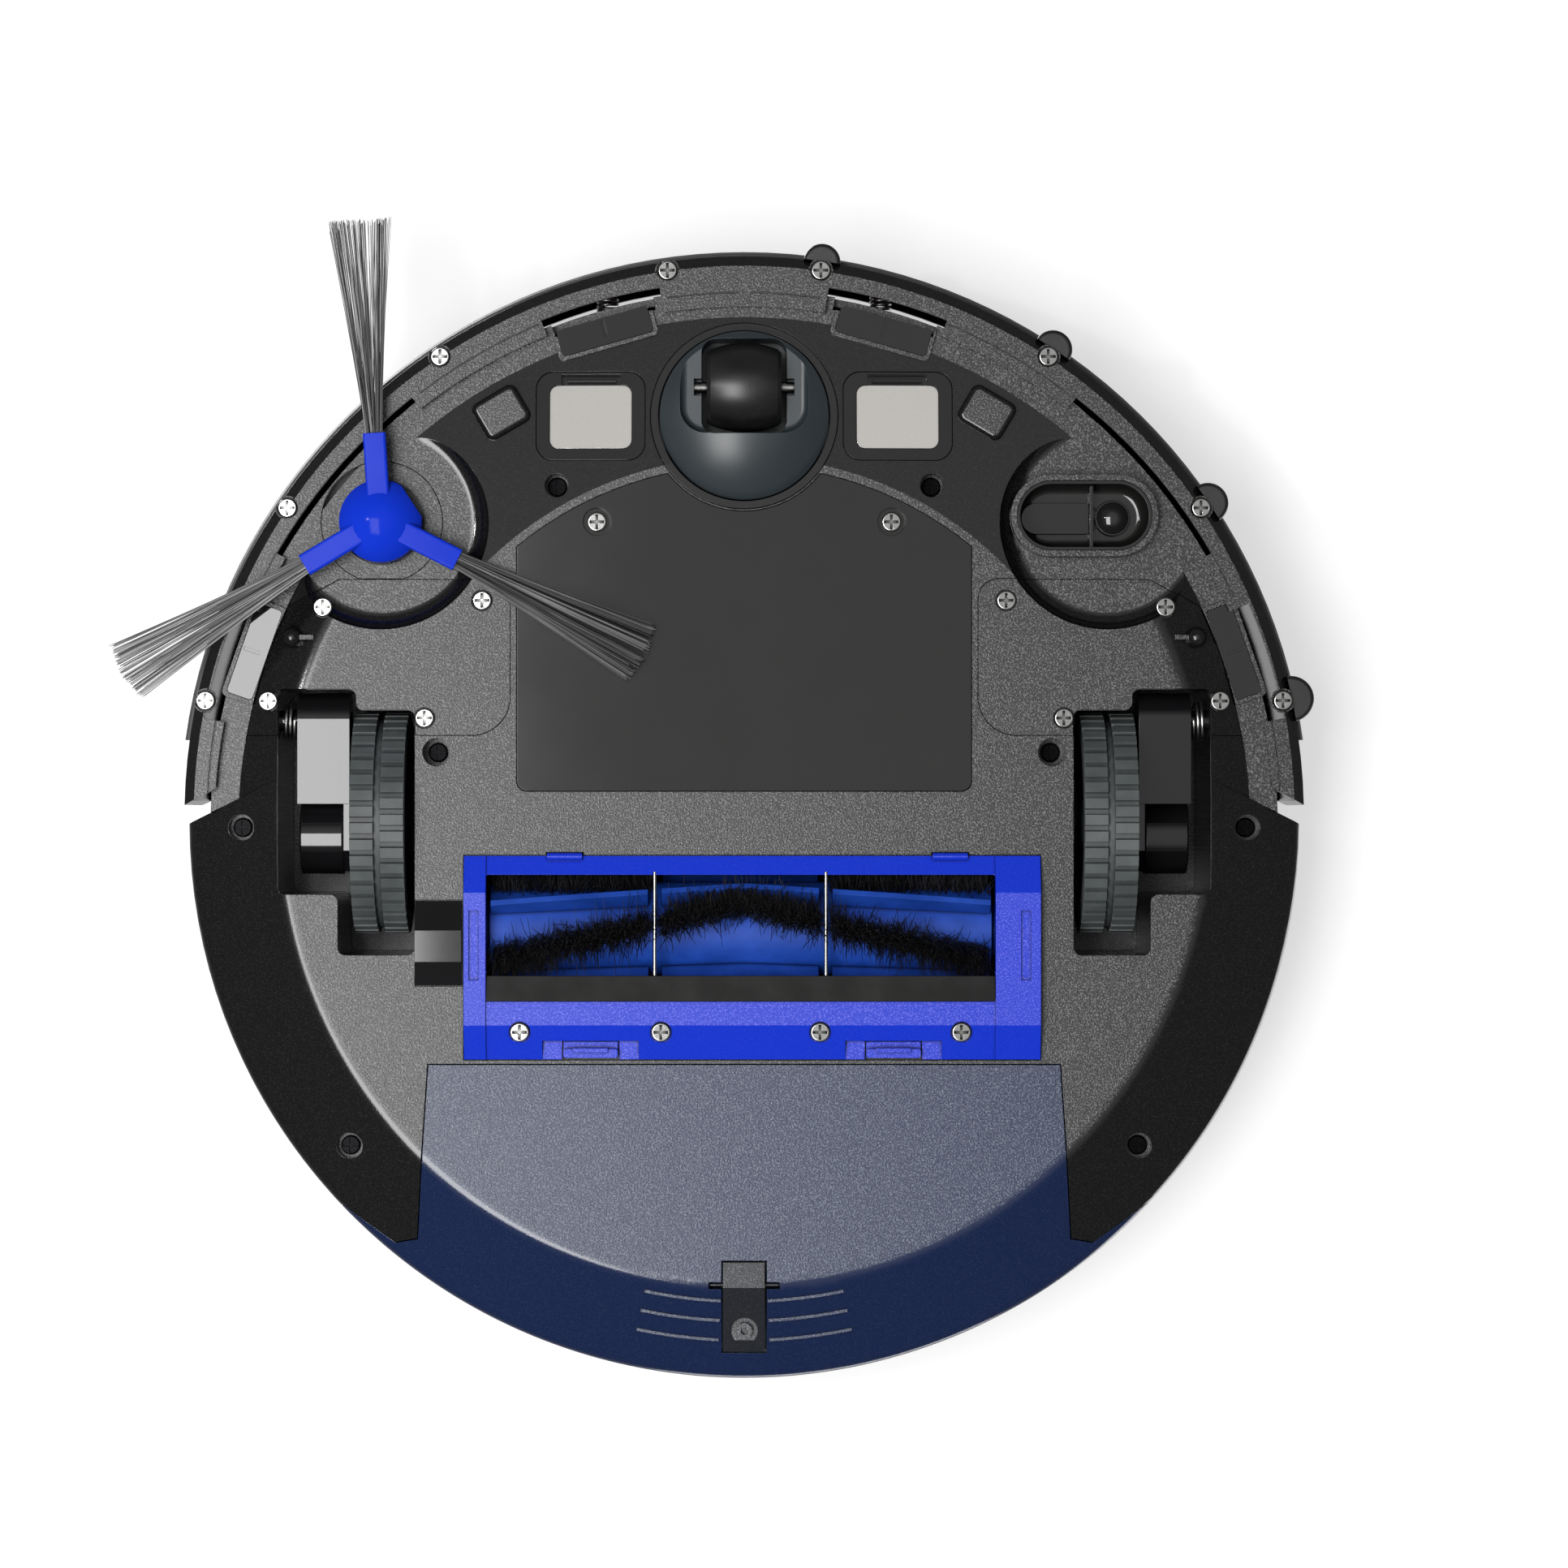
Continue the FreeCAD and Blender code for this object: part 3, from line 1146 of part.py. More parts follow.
def parts():
    return {
        "base_housing": base_housing(),
        "upper_housing": upper_housing(),
        "top_cover": top_cover(),
        "top_panel": top_panel(),
        "wheel_cover_left": wheel_cover(-1),
        "wheel_cover_right": wheel_cover(1),
        "cover_screws": cover_screws(),
        "housing_screws": housing_screws(),
        "battery_cover": battery_cover(),
        "battery_pack": battery_pack(),
        "main_board": main_board(),
        "charging_bezels": charging_bezels(),
        "charging_contacts": charging_contacts(),
        "cliff_windows_front": cliff_windows(147.0, FRONT_WINDOW_ANGLE, 14.8),
        "cliff_windows_side": cliff_windows(149.2, SIDE_WINDOW_ANGLE, 15.6),
        "tracking_sensor_bezel": tracking_sensor_bezel(),
        "tracking_sensor_light": tracking_sensor_light(),
        "tracking_sensor_lens": tracking_sensor_lens(),
        "side_brush_gearbox": side_brush_gearbox(),
        "brush_gearbox_cover": brush_gearbox_cover(),
        "brush_motor": brush_motor(),
        "fan_housing": fan_housing(),
        "fan_motor": fan_motor(),
        "caster_seat": caster_seat(),
        "bumper_springs": bumper_springs(),
        "wheel_springs": wheel_springs(),
        "fan_impeller": fan_impeller(),
        "power_button": power_button(),
        "bumper_shell": bumper_shell(),
        "rub_strip": rub_strip(),
        "bumper_screws": bumper_screws(),
        "rub_buffers": rub_buffers(),
        "ir_window": ir_window(),
        "caster_housing": caster_housing(),
        "caster_axle": caster_axle(),
        "caster_wheel": caster_wheel(),
        "side_brush_hub": side_brush_hub(),
        "side_brush_bristles": side_brush_bristles(),
        "side_brush_shaft": side_brush_shaft(),
        "main_brush_core": main_brush_core(),
        "main_brush_blades": main_brush_blades(),
        "main_brush_bristles": main_brush_bristles(),
        "wheel_arm_left": wheel_arm(-1),
        "wheel_arm_right": wheel_arm(1),
        "wheel_motor_left": wheel_motor(-1),
        "wheel_motor_right": wheel_motor(1),
        "wheel_hub_left": wheel_hub(-1),
        "wheel_hub_right": wheel_hub(1),
        "wheel_tyre_left": wheel_tyre(-1),
        "wheel_tyre_right": wheel_tyre(1),
        "brush_guard": brush_guard(),
        "guard_scraper": guard_scraper(),
        "guard_wires": guard_wires(),
        "guard_screws": guard_screws(),
        "guard_latch_left": guard_latch(LATCH_X[0]),
        "guard_latch_right": guard_latch(LATCH_X[1]),
        "dustbin": dustbin(),
        "dustbin_lid": dustbin_lid(),
        "dustbin_filter": dustbin_filter(),
        "bin_latch": bin_latch(),
    }


def main():
    os.makedirs("parts", exist_ok=True)
    for name, shape in parts().items():
        box = shape.BoundBox
        print("%-24s valid %s  solids %d  z %.1f to %.1f" % (name, shape.isValid(), len(shape.Solids), box.ZMin, box.ZMax))
        shape.exportStep(os.path.join("parts", name + ".step"))


main()
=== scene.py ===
"""Looks for the robot vacuum: materials, bristles, stage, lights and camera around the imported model."""
import json
import math
import random

import bpy
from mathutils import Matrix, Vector

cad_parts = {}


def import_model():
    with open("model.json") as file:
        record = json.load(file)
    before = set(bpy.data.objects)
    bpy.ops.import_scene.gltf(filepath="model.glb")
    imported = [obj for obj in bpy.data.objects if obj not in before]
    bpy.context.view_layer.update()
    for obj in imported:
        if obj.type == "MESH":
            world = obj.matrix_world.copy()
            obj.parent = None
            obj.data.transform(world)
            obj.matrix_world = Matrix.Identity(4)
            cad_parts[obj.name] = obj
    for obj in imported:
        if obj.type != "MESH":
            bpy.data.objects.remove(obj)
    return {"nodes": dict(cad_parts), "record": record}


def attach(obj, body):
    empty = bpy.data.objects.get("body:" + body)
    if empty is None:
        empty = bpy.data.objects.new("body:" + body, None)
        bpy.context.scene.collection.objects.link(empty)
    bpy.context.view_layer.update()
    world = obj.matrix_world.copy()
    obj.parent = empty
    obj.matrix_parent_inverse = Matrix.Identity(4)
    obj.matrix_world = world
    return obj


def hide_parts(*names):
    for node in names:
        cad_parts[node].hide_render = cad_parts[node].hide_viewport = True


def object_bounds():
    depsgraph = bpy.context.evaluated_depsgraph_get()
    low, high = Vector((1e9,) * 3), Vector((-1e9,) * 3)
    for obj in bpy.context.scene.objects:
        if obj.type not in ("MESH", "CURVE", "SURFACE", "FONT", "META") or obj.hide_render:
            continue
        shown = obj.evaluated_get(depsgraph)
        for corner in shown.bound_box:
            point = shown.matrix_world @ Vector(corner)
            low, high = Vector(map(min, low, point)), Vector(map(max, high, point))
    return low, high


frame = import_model()
CAD_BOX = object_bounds()

MM = 0.001
CAMERA_DISTANCE = 1.5
LENS = 121.0
SHEET_SIZE = 4.0
SHEET_GAP = 0.5 * MM
SHEET_ALBEDO = 0.5
SHEET_GLOW = 0.58
PANEL_RADIANCE = 11.8

# Main brush, in mm and degrees: its axis, and the rows of tufts between the guard wires.
BRUSH_Y = 30.5
BRUSH_Z = 26.0
CORE_R = 13.65
TUFT_R = 22.4
TUFT_SPANS = ((-72.0, -26.9), (-24.2, 22.0), (24.8, 70.0))
TUFT_PITCH = 1.1
TUFT_HAIRS = 46
TUFT_RADII = (0.13, 0.12, 0.07)
BACK_ROW_ANGLE = -60.0
BACK_ROW_HAIRS = 20
BACK_ROW_FROM_X = 24.5

# Side brush, in mm and degrees: each bundle leaves an arm and fans out to its tip.
HUB = (-104.2, -86.5)
ARM_ANGLES = (-3.5, 117.0, 239.1)
ARM_HAIRS = 150
BRISTLE_ROOT = 25.05
BRISTLE_TIP = 86.0
BRISTLE_STEPS = 5
ROOT_HALF_WIDTH = 2.25
TIP_HALF_WIDTH = 8.7
ROOT_Z = 6.7
TIP_Z = 2.1


# ---------------------------------------------------------------- node helpers

def add_node(mat, kind, inputs=None, **settings):
    """A shader node with its settings; an input given as a socket is linked, and any other is set."""
    made = mat.node_tree.nodes.new("ShaderNode" + kind)
    for key, value in settings.items():
        setattr(made, key, value)
    for key, value in (inputs or {}).items():
        if isinstance(value, bpy.types.NodeSocket):
            mat.node_tree.links.new(value, made.inputs[key])
        else:
            made.inputs[key].default_value = value
    return made


def grey(value):
    return (value, value, value, 1.0)


def place(mat):
    return add_node(mat, "TexCoord").outputs["Object"]


def noise(mat, size_mm, detail=2.0, stretch=None):
    """Noise whose blobs are about size_mm across."""
    where = place(mat)
    if stretch:
        where = add_node(mat, "Mapping", {"Vector": where, "Scale": stretch}).outputs[0]
    inputs = {"Vector": where, "Scale": 1.0 / (size_mm * MM), "Detail": detail}
    return add_node(mat, "TexNoise", inputs).outputs["Fac"]


def remap(mat, value, low, high, to_low, to_high):
    inputs = {"Value": value, "From Min": low, "From Max": high, "To Min": to_low, "To Max": to_high}
    return add_node(mat, "MapRange", inputs).outputs[0]


def mix_colour(mat, factor, first, second):
    return add_node(mat, "MixRGB", {"Fac": factor, "Color1": first, "Color2": second}).outputs[0]


def new_material(name, colour, roughness, **sockets):
    mat = bpy.data.materials.new(name)
    mat.use_nodes = True
    shader = mat.node_tree.nodes["Principled BSDF"]
    shader.inputs["Base Color"].default_value = (*colour, 1.0)
    shader.inputs["Roughness"].default_value = roughness
    for key, value in sockets.items():
        shader.inputs[key.replace("_", " ")].default_value = value
    return mat


def drive(mat, socket, source):
    mat.node_tree.links.new(source, mat.node_tree.nodes["Principled BSDF"].inputs[socket])


def painted_shade_mask(mat, reach_mm):
    """Painted shade mask: 0 in tight recesses and seams, where colours are darkened as if shaded, 1 in the
    open.
    """
    shade = add_node(mat, "AmbientOcclusion", {"Distance": reach_mm * MM}, samples=6)
    return remap(mat, shade.outputs["AO"], 0.45, 0.9, 0.0, 1.0)


def rounded(mat, edge_mm):
    """A normal that rounds hard edges by edge_mm."""
    return add_node(mat, "Bevel", {"Radius": edge_mm * MM}, samples=4).outputs[0]


def add_bump(mat, height, depth_mm, strength=1.0, edge_mm=0.0):
    inputs = {"Height": height, "Distance": depth_mm * MM, "Strength": strength}
    if edge_mm:
        inputs["Normal"] = rounded(mat, edge_mm)
    drive(mat, "Normal", add_node(mat, "Bump", inputs).outputs[0])


def vary_colour(mat, colour, lighter, size_mm):
    """The colour drifts towards a lighter one in soft clouds."""
    cloud = remap(mat, noise(mat, size_mm, 3.0), 0.35, 0.7, 0.0, 1.0)
    drive(mat, "Base Color", mix_colour(mat, cloud, (*colour, 1.0), (*lighter, 1.0)))


def vary_roughness(mat, low, high, size_mm):
    drive(mat, "Roughness", remap(mat, noise(mat, size_mm, 4.0), 0.3, 0.7, low, high))


# ---------------------------------------------------------------- materials

def flatness(mat):
    """1 on faces that lie flat, 0 on slopes and walls, from the object's own normal."""
    normal = add_node(mat, "TexCoord").outputs["Normal"]
    upright = add_node(mat, "SeparateXYZ", {0: normal}).outputs["Z"]
    size = add_node(mat, "Math", {0: upright}, operation="ABSOLUTE").outputs[0]
    return remap(mat, size, 0.991, 0.997, 0.0, 1.0)


def grained(name, colour, fleck_and_glint, roughness, grain_mm, depth_mm, edge_mm, polish=0.2, specular=0.5):
    """Plastic whose flat faces carry spark-eroded grain, while its slopes are nearly smooth. Its light
    flecks, mostly on flat faces, are partly the grain's own tone and partly painted glints of the grain.
    """
    mat = new_material(name, colour, roughness, Specular_IOR_Level=specular)
    grain = noise(mat, grain_mm, 2.0)
    flat = flatness(mat)
    # Light flecks on the grain's peaks, mostly on flat faces: partly the plastic's own fleck and partly
    # painted glints of grain catching the lamps.
    peak = remap(mat, grain, 0.50, 0.68, 0.0, 1.0)
    share = remap(mat, flat, 0.0, 1.0, 0.08, 1.0)
    shown = add_node(mat, "Math", {0: peak, 1: share}, operation="MULTIPLY").outputs[0]
    coloured = mix_colour(mat, shown, (*colour, 1.0), (*fleck_and_glint, 1.0))
    # Tight recesses and seams are darkened towards a third of the colour: painted shade.
    painted_shade_colour = tuple(0.3 * c for c in colour)
    drive(mat, "Base Color", mix_colour(mat, painted_shade_mask(mat, 1.2), (*painted_shade_colour, 1.0), coloured))
    drive(mat, "Roughness", remap(mat, flat, 0.0, 1.0, polish, roughness))
    add_bump(mat, grain, depth_mm, remap(mat, flat, 0.0, 1.0, 0.12, 1.0), edge_mm)
    return mat


def smooth(name, colour, lighter, roughness, edge_mm=0.25, wave_mm=6.0, **sockets):
    """Plain moulded plastic with faint flow marks and handling haze."""
    mat = new_material(name, colour, roughness, **sockets)
    vary_colour(mat, colour, lighter, 22.0)
    vary_roughness(mat, roughness * 0.93, roughness * 1.08, 14.0)
    add_bump(mat, noise(mat, wave_mm, 2.0), 0.004, 0.3, edge_mm)
    return mat


def metal(name, colour, roughness, stretch, edge_mm=0.1):
    """Plated steel with fine lines from rolling or drawing."""
    mat = new_material(name, colour, roughness, Metallic=1.0)
    lines = noise(mat, 0.5, 3.0, stretch)
    dull = tuple(0.9 * c for c in colour)
    plated = mix_colour(mat, lines, (*dull, 1.0), (*colour, 1.0))
    # Slots and recesses such as screw crosses are darkened to near black: painted shade.
    drive(mat, "Base Color", mix_colour(mat, painted_shade_mask(mat, 1.0), grey(0.004), plated))
    drive(mat, "Roughness", remap(mat, lines, 0.3, 0.7, roughness * 0.85, roughness * 1.2))
    add_bump(mat, lines, 0.002, 0.3, edge_mm)
    return mat


def rubber(name, colour, roughness, grain_mm=0.6, depth_mm=0.02, **sockets):
    mat = new_material(name, colour, roughness, **sockets)
    lighter = tuple(min(1.0, 1.4 * c + 0.005) for c in colour)
    cloud = remap(mat, noise(mat, 9.0, 3.0), 0.35, 0.7, 0.0, 1.0)
    worn = mix_colour(mat, cloud, (*colour, 1.0), (*lighter, 1.0))
    # Tight recesses and seams are darkened towards a fifth of the colour: painted shade.
    painted_shade_colour = tuple(0.2 * c for c in colour)
    drive(mat, "Base Color", mix_colour(mat, painted_shade_mask(mat, 1.5), (*painted_shade_colour, 1.0), worn))
    add_bump(mat, noise(mat, grain_mm, 3.0), depth_mm, edge_mm=0.2)
    return mat


def clear(name, colour, roughness, transmission, ior=1.45):
    """Tinted see-through plastic."""
    mat = new_material(name, colour, roughness, Transmission_Weight=transmission, IOR=ior)
    deeper = tuple(0.75 * c for c in colour)
    cloud = noise(mat, 25.0, 2.0)
    drive(mat, "Base Color", mix_colour(mat, cloud, (*deeper, 1.0), (*colour, 1.0)))
    vary_roughness(mat, roughness * 0.85, roughness * 1.2, 12.0)
    return mat


def tub(name):
    """The bin's navy plastic: grained like the housing, and light shows through it a little."""
    mat = grained(name, (0.007, 0.022, 0.095), (0.20, 0.25, 0.33), 0.34, 0.45, 0.09, 0.25, 0.13)
    mat.node_tree.nodes["Principled BSDF"].inputs["Transmission Weight"].default_value = 0.4
    return mat


def paper(name, colour):
    mat = new_material(name, colour, 0.9)
    fibre = noise(mat, 0.5, 4.0, (1.0, 0.3, 1.0))
    drive(mat, "Base Color", mix_colour(mat, fibre, (*(0.8 * c for c in colour), 1.0), (*colour, 1.0)))
    add_bump(mat, fibre, 0.05)
    return mat


def board(name):
    """Green solder mask with copper tracks showing as lighter lines."""
    mat = new_material(name, (0.02, 0.15, 0.06), 0.3)
    tracks = add_node(mat, "TexBrick", {"Vector": place(mat), "Scale": 120.0, "Mortar Size": 0.03})
    line = tracks.outputs["Fac"]
    drive(mat, "Base Color", mix_colour(mat, line, (0.01, 0.09, 0.035, 1.0), (0.05, 0.28, 0.10, 1.0)))
    return mat


def make_materials():
    flat = (1.0, 1.0, 0.12)
    return {
        # The second colour of each grained look is its light fleck, partly the plastic's tone and partly a
        # painted glint.
        "speckled_plastic": grained("speckled", (0.0045, 0.0045, 0.0045), (0.15, 0.15, 0.15),
                                    0.34, 0.45, 0.09, 0.25, 0.13),
        "dark_plastic": smooth("satin_black", (0.010, 0.010, 0.0095), (0.0115, 0.0115, 0.011), 0.10),
        "cover_plastic": grained("top_grain", (0.014, 0.014, 0.0145), (0.03, 0.03, 0.03),
                                 0.45, 0.5, 0.02, 0.4),
        "gloss_black": smooth("gloss_black", (0.005, 0.005, 0.0055), (0.007, 0.007, 0.008), 0.07, 0.25, 20.0),
        "slate_plastic": smooth("slate", (0.022, 0.030, 0.035), (0.027, 0.036, 0.041), 0.34),
        "blue_plastic": grained("blue_grain", (0.005, 0.032, 0.55), (0.12, 0.13, 0.72),
                                0.38, 0.42, 0.04, 0.3, 0.18, 0.3),
        "blue_gloss": smooth("blue_gloss", (0.006, 0.034, 0.56), (0.008, 0.038, 0.60), 0.11,
                             Specular_IOR_Level=0.05),
        "blue_rubber": rubber("blue_rubber", (0.006, 0.045, 0.30), 0.55, Specular_IOR_Level=0.25),
        "navy_translucent": tub("navy_tub"),
        "smoke_window": clear("smoke_window", (0.05, 0.012, 0.016), 0.08, 0.4),
        "black_rubber": rubber("black_rubber", (0.006, 0.006, 0.006), 0.34),
        "wiper_rubber": rubber("wiper_rubber", (0.010, 0.010, 0.0095), 0.5, Specular_IOR_Level=0.15),
        "latch_plastic": grained("latch_grain", (0.012, 0.014, 0.018), (0.15, 0.16, 0.19),
                                 0.36, 0.45, 0.08, 0.25, 0.2),
        "grey_rubber": rubber("grey_rubber", (0.022, 0.022, 0.024), 0.5, 0.8, 0.03),
        "tyre_rubber": rubber("tyre_rubber", (0.058, 0.066, 0.068), 0.5, 0.6, 0.05),
        "screw_steel": metal("bright_zinc", (0.36, 0.36, 0.35), 0.16, (1.0, 1.0, 1.0)),
        "dark_steel": metal("black_steel_hole_shade", (0.004, 0.004, 0.0045), 0.3, (1.0, 1.0, 1.0)),
        "contact_steel": metal("nickel", (0.76, 0.735, 0.70), 0.07, flat),
        "spring_steel": metal("spring_wire", (0.62, 0.62, 0.61), 0.3, (0.2, 0.2, 0.2)),
        "grey_bristle": smooth("bristle", (0.16, 0.16, 0.16), (0.22, 0.22, 0.22), 0.4, 0.0),
        "black_bristle": smooth("bristle_black", (0.006, 0.006, 0.006), (0.012, 0.011, 0.01), 0.5, 0.0),
        "circuit_green": board("solder_mask"),
        "motor_steel": metal("motor_can", (0.45, 0.45, 0.45), 0.35, flat),
        "battery_wrap": smooth("battery_wrap", (0.03, 0.07, 0.25), (0.04, 0.09, 0.3), 0.25),
        "filter_paper": paper("filter_paper", (0.75, 0.74, 0.70)),
        "sensor_glass": smooth("sensor_window", (0.010, 0.010, 0.0095), (0.011, 0.011, 0.011),
                               0.05, 0.1, 30.0),
    }


OTHER_LOOKS = {
    "top_cover": "cover_plastic",
    "upper_housing": "cover_plastic",
    "side_brush_hub": "blue_gloss",
    "main_brush_core": "blue_rubber",
    # The deep housing screws get near-black steel: painted shade standing for the dark of their holes.
    "housing_screws": "dark_steel",
    "guard_scraper": "wiper_rubber",
    "bin_latch": "latch_plastic",
}


def paint_nodes(materials):
    slots = {}
    for row in frame["record"]["subparts"]:
        slots[row["node"]] = row["material_slot"]
    for name, piece in frame["nodes"].items():
        look = materials[OTHER_LOOKS.get(name, slots[name])]
        for slot in piece.material_slots:
            slot.material = look
        if not piece.material_slots:
            piece.data.materials.append(look)


# ---------------------------------------------------------------- bristles

def strand(points, radii, verts, faces):
    """Adds a three-sided strand along the points to the lists, and gives its number of faces."""
    start = len(verts)
    for i, point in enumerate(points):
        ahead = points[min(i + 1, len(points) - 1)] - points[max(i - 1, 0)]
        side = ahead.cross(Vector((0.0, 0.3, 1.0))).normalized()
        up = side.cross(ahead).normalized()
        for k in range(3):
            turn = math.radians(120 * k)
            verts.append(point + radii[i] * (math.cos(turn) * side + math.sin(turn) * up))
    for i in range(len(points) - 1):
        a = start + 3 * i
        for k in range(3):
            faces.append((a + k, a + (k + 1) % 3, a + 3 + (k + 1) % 3, a + 3 + k))
    faces.append((start + 2, start + 1, start))
    last = start + 3 * (len(points) - 1)
    faces.append((last, last + 1, last + 2))
    return 3 * (len(points) - 1) + 2


def strand_object(name, strands, looks):
    """One mesh of many strands; each strand is (points, radii, index of its look)."""
    verts = []
    faces = []
    kinds = []
    for points, radii, kind in strands:
        count = strand(points, radii, verts, faces)
        kinds += [kind] * count
    mesh = bpy.data.meshes.new(name)
    mesh.from_pydata([v * MM for v in verts], [], faces)
    for look in looks:
        mesh.materials.append(look)
    mesh.polygons.foreach_set("material_index", kinds)
    mesh.update()
    made = bpy.data.objects.new(name, mesh)
    bpy.context.scene.collection.objects.link(made)
    return made


def side_bristle(angle, rng):
    """One strand of a bundle: close together in the arm, fanned out at the tip."""
    share = rng.uniform(-1.0, 1.0)
    layer = rng.uniform(-1.0, 1.0)
    root = ROOT_HALF_WIDTH * max(-1.0, min(1.0, share + rng.gauss(0, 0.12)))
    tip = TIP_HALF_WIDTH * max(-1.02, min(1.02, share + rng.gauss(0, 0.07)))
    length = BRISTLE_TIP - abs(rng.gauss(0, 1.2)) - 1.6 * abs(share) * (angle > 0)
    points = []
    turn = math.radians(angle)
    for i in range(BRISTLE_STEPS + 1):
        t = i / BRISTLE_STEPS
        across = root + (tip - root) * t ** 1.15
        r = BRISTLE_ROOT - 1.0 + (length - BRISTLE_ROOT + 1.0) * t
        z = ROOT_Z + 0.9 * layer + (TIP_Z - ROOT_Z - 0.2 * layer) * t ** 1.1
        x = HUB[0] + r * math.sin(turn) + across * math.cos(turn)
        y = HUB[1] - r * math.cos(turn) + across * math.sin(turn)
        points.append(Vector((x, y, z)))
    thick = rng.uniform(0.12, 0.17)
    radii = [thick * (1.0 - 0.35 * i / BRISTLE_STEPS) for i in range(BRISTLE_STEPS + 1)]
    kind = rng.choices((0, 1, 2), (5, 3, 2))[0]
    return points, radii, kind


def side_bristles():
    rng = random.Random(7)
    strands = []
    for angle in ARM_ANGLES:
        strands += [side_bristle(angle, rng) for _ in range(ARM_HAIRS)]
    looks = [
        smooth("bristle_mid", (0.10, 0.10, 0.10), (0.13, 0.13, 0.13), 0.35, 0.0),
        smooth("bristle_light", (0.30, 0.30, 0.30), (0.36, 0.36, 0.36), 0.35, 0.0),
        smooth("bristle_dark", (0.012, 0.012, 0.012), (0.02, 0.02, 0.02), 0.35, 0.0),
    ]
    made = strand_object("side_brush_strands", strands, looks)
    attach(made, "side_brush")
    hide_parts("side_brush_bristles")


def chevron_angle(x):
    """Angle of the bristle rows round the roller, from straight down towards the rear."""
    share = min(1.0, abs(x + 1.1) / 71.4)
    return -26.0 + 58.0 * share


def roller_strand(x, row_angle, rng):
    """One nylon hair that stands on the core and leans a little its own way."""
    angle = math.radians(row_angle + rng.gauss(0, 6.5))
    lean = math.radians(rng.gauss(0, 8.0))
    tip_r = TUFT_R - abs(rng.gauss(0, 1.3))
    shift = rng.gauss(0, 1.6)
    points = []
    for i in range(3):
        t = i / 2.0
        r = CORE_R - 0.4 + (tip_r - CORE_R + 0.4) * t
        a = angle + lean * t
        y = BRUSH_Y + r * math.sin(a)
        z = BRUSH_Z - r * math.cos(a)
        points.append(Vector((x + shift * t, y, z)))
    return points, TUFT_RADII, 0 if rng.random() < 0.8 else 1


def roller_bristles():
    rng = random.Random(11)
    strands = []
    for x0, x1 in TUFT_SPANS:
        tufts = int((x1 - x0) / TUFT_PITCH)
        for i in range(tufts):
            x = x0 + (x1 - x0) * (i + 0.5) / tufts
            for turn in (0.0, 180.0):
                row = chevron_angle(x) + turn
                strands += [roller_strand(x + rng.gauss(0, 0.4), row, rng) for _ in range(TUFT_HAIRS)]
            if abs(x) > BACK_ROW_FROM_X:
                for _ in range(BACK_ROW_HAIRS):
                    strands.append(roller_strand(x + rng.gauss(0, 0.4), BACK_ROW_ANGLE, rng))
    looks = [
        smooth("tuft_black", (0.005, 0.005, 0.005), (0.010, 0.010, 0.010), 0.45, 0.0),
        smooth("tuft_grey", (0.022, 0.022, 0.024), (0.03, 0.03, 0.03), 0.45, 0.0),
    ]
    made = strand_object("main_brush_tufts", strands, looks)
    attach(made, "main_brush")
    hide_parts("main_brush_bristles")


# ---------------------------------------------------------------- stage, lights, camera

def one_sided(name):
    """A pale sheet that is seen from its front only, so the other side's views look through it."""
    mat = new_material(name, (SHEET_ALBEDO,) * 3, 0.9)
    shader = mat.node_tree.nodes["Principled BSDF"]
    shader.inputs["Specular IOR Level"].default_value = 0.0
    shader.inputs["Emission Color"].default_value = grey(1.0)
    shader.inputs["Emission Strength"].default_value = SHEET_GLOW
    clear_side = add_node(mat, "BsdfTransparent")
    back = add_node(mat, "NewGeometry").outputs["Backfacing"]
    chosen = add_node(mat, "MixShader", {0: back, 1: shader.outputs[0], 2: clear_side.outputs[0]})
    output = mat.node_tree.nodes["Material Output"]
    mat.node_tree.links.new(chosen.outputs[0], output.inputs["Surface"])
    return mat


def sheet(name, z, faces_up):
    half = SHEET_SIZE / 2
    corners = [(-half, -half, z), (half, -half, z), (half, half, z), (-half, half, z)]
    if not faces_up:
        corners.reverse()
    mesh = bpy.data.meshes.new(name)
    mesh.from_pydata(corners, [], [(0, 1, 2, 3)])
    mesh.materials.append(one_sided(name))
    made = bpy.data.objects.new(name, mesh)
    bpy.context.scene.collection.objects.link(made)
    made.visible_shadow = False
    made.visible_diffuse = False
    made.visible_glossy = False


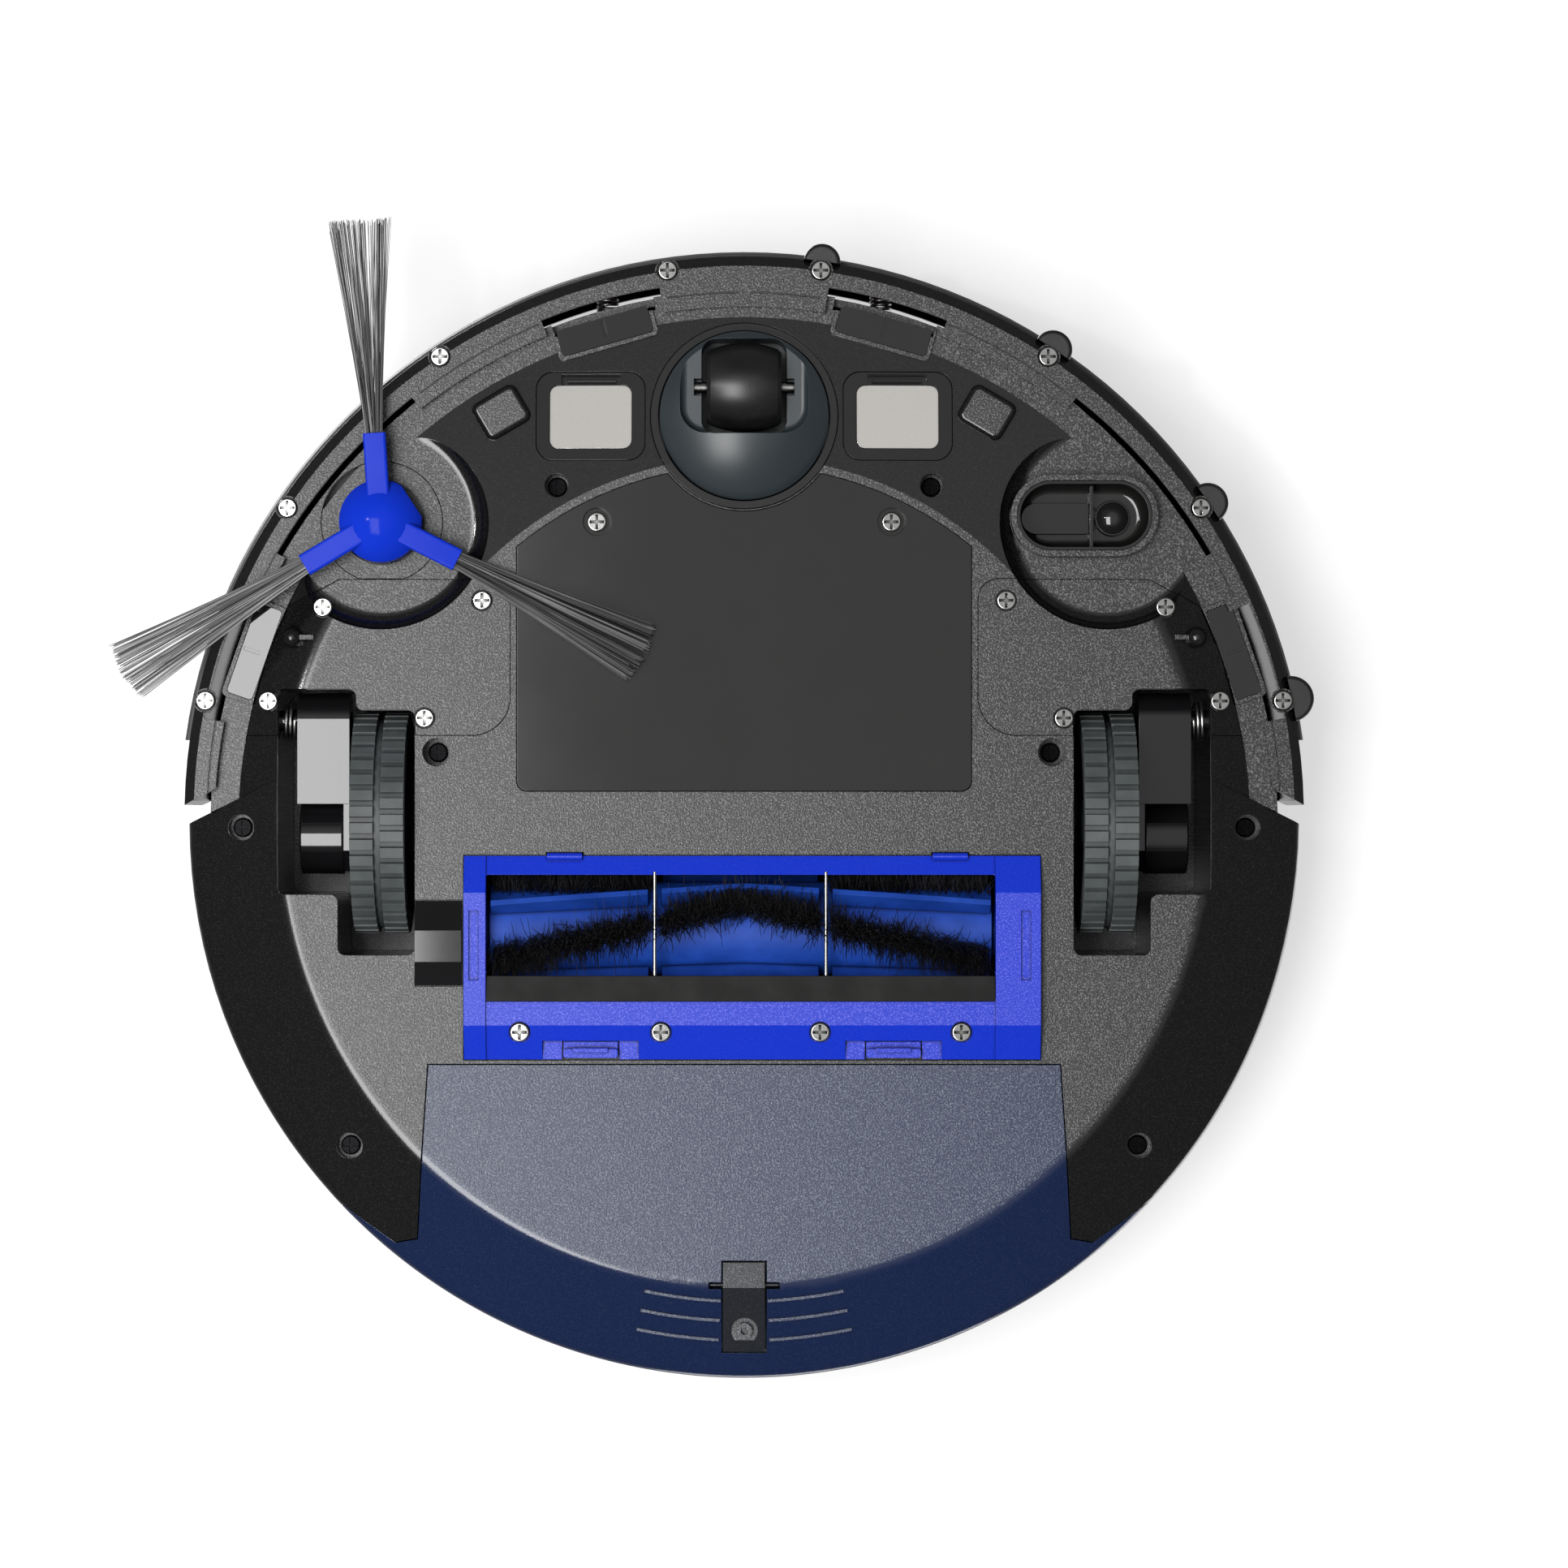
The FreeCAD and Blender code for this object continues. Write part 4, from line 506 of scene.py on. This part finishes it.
def area_light(name, place_m, aim_m, width, height, radiance):
    data = bpy.data.lights.new(name, "AREA")
    data.shape = "RECTANGLE"
    data.size = width
    data.size_y = height
    data.energy = radiance * math.pi * width * height
    made = bpy.data.objects.new(name, data)
    bpy.context.scene.collection.objects.link(made)
    made.location = place_m
    made.rotation_euler = (Vector(aim_m) - Vector(place_m)).to_track_quat("-Z", "Y").to_euler()
    made.visible_camera = False


def world():
    """Light from all round, strongest straight below, while the camera sees a plain white."""
    made = bpy.data.worlds.new("studio")
    made.use_nodes = True
    bpy.context.scene.world = made
    background = made.node_tree.nodes["Background"]
    direction = add_node(made, "TexCoord").outputs["Generated"]
    height = add_node(made, "SeparateXYZ", {0: direction}).outputs["Z"]
    below = remap(made, height, -0.95, -0.80, 0.80, 0.16)
    above = remap(made, height, 0.2, 0.9, 0.0, 0.35)
    lit = add_node(made, "Math", {0: below, 1: above}, operation="ADD").outputs[0]
    seen = add_node(made, "LightPath").outputs["Is Camera Ray"]
    strength = add_node(made, "Mix", {0: seen, 2: lit, 3: 0.95}, data_type="FLOAT").outputs[0]
    made.node_tree.links.new(strength, background.inputs["Strength"])
    background.inputs["Color"].default_value = grey(1.0)


def lights():
    centre = (0.0, 0.0, 0.03)
    area_light("panel_below", (-0.58, 0.35, -1.9), (-0.58, 0.35, 0.0), 0.74, 1.35, PANEL_RADIANCE)
    area_light("key_below", (-1.1, -0.25, -1.7), centre, 0.08, 0.08, 210.0)
    area_light("key_above", (-1.2, -1.3, 1.7), centre, 1.1, 1.1, 9.0)
    area_light("fill_above", (1.6, 0.9, 1.4), centre, 1.5, 1.5, 2.6)
    area_light("rim_above", (0.3, 1.9, 1.1), centre, 1.2, 0.8, 3.0)


def camera():
    data = bpy.data.cameras.new("camera")
    data.lens = LENS
    data.sensor_width = 36.0
    data.shift_x = 0.0254
    data.shift_y = 0.020
    made = bpy.data.objects.new("camera", data)
    bpy.context.scene.collection.objects.link(made)
    made.location = (0.0, -0.0022, -CAMERA_DISTANCE)
    made.rotation_euler = (math.pi, 0.0, 0.0)
    bpy.context.scene.camera = made


camera()
world()
lights()
sheet("floor", 0.0, True)
sheet("rest_surface", CAD_BOX[1][2] + SHEET_GAP, False)
paint_nodes(make_materials())
side_bristles()
roller_bristles()
bpy.context.scene.view_settings.view_transform = "Standard"
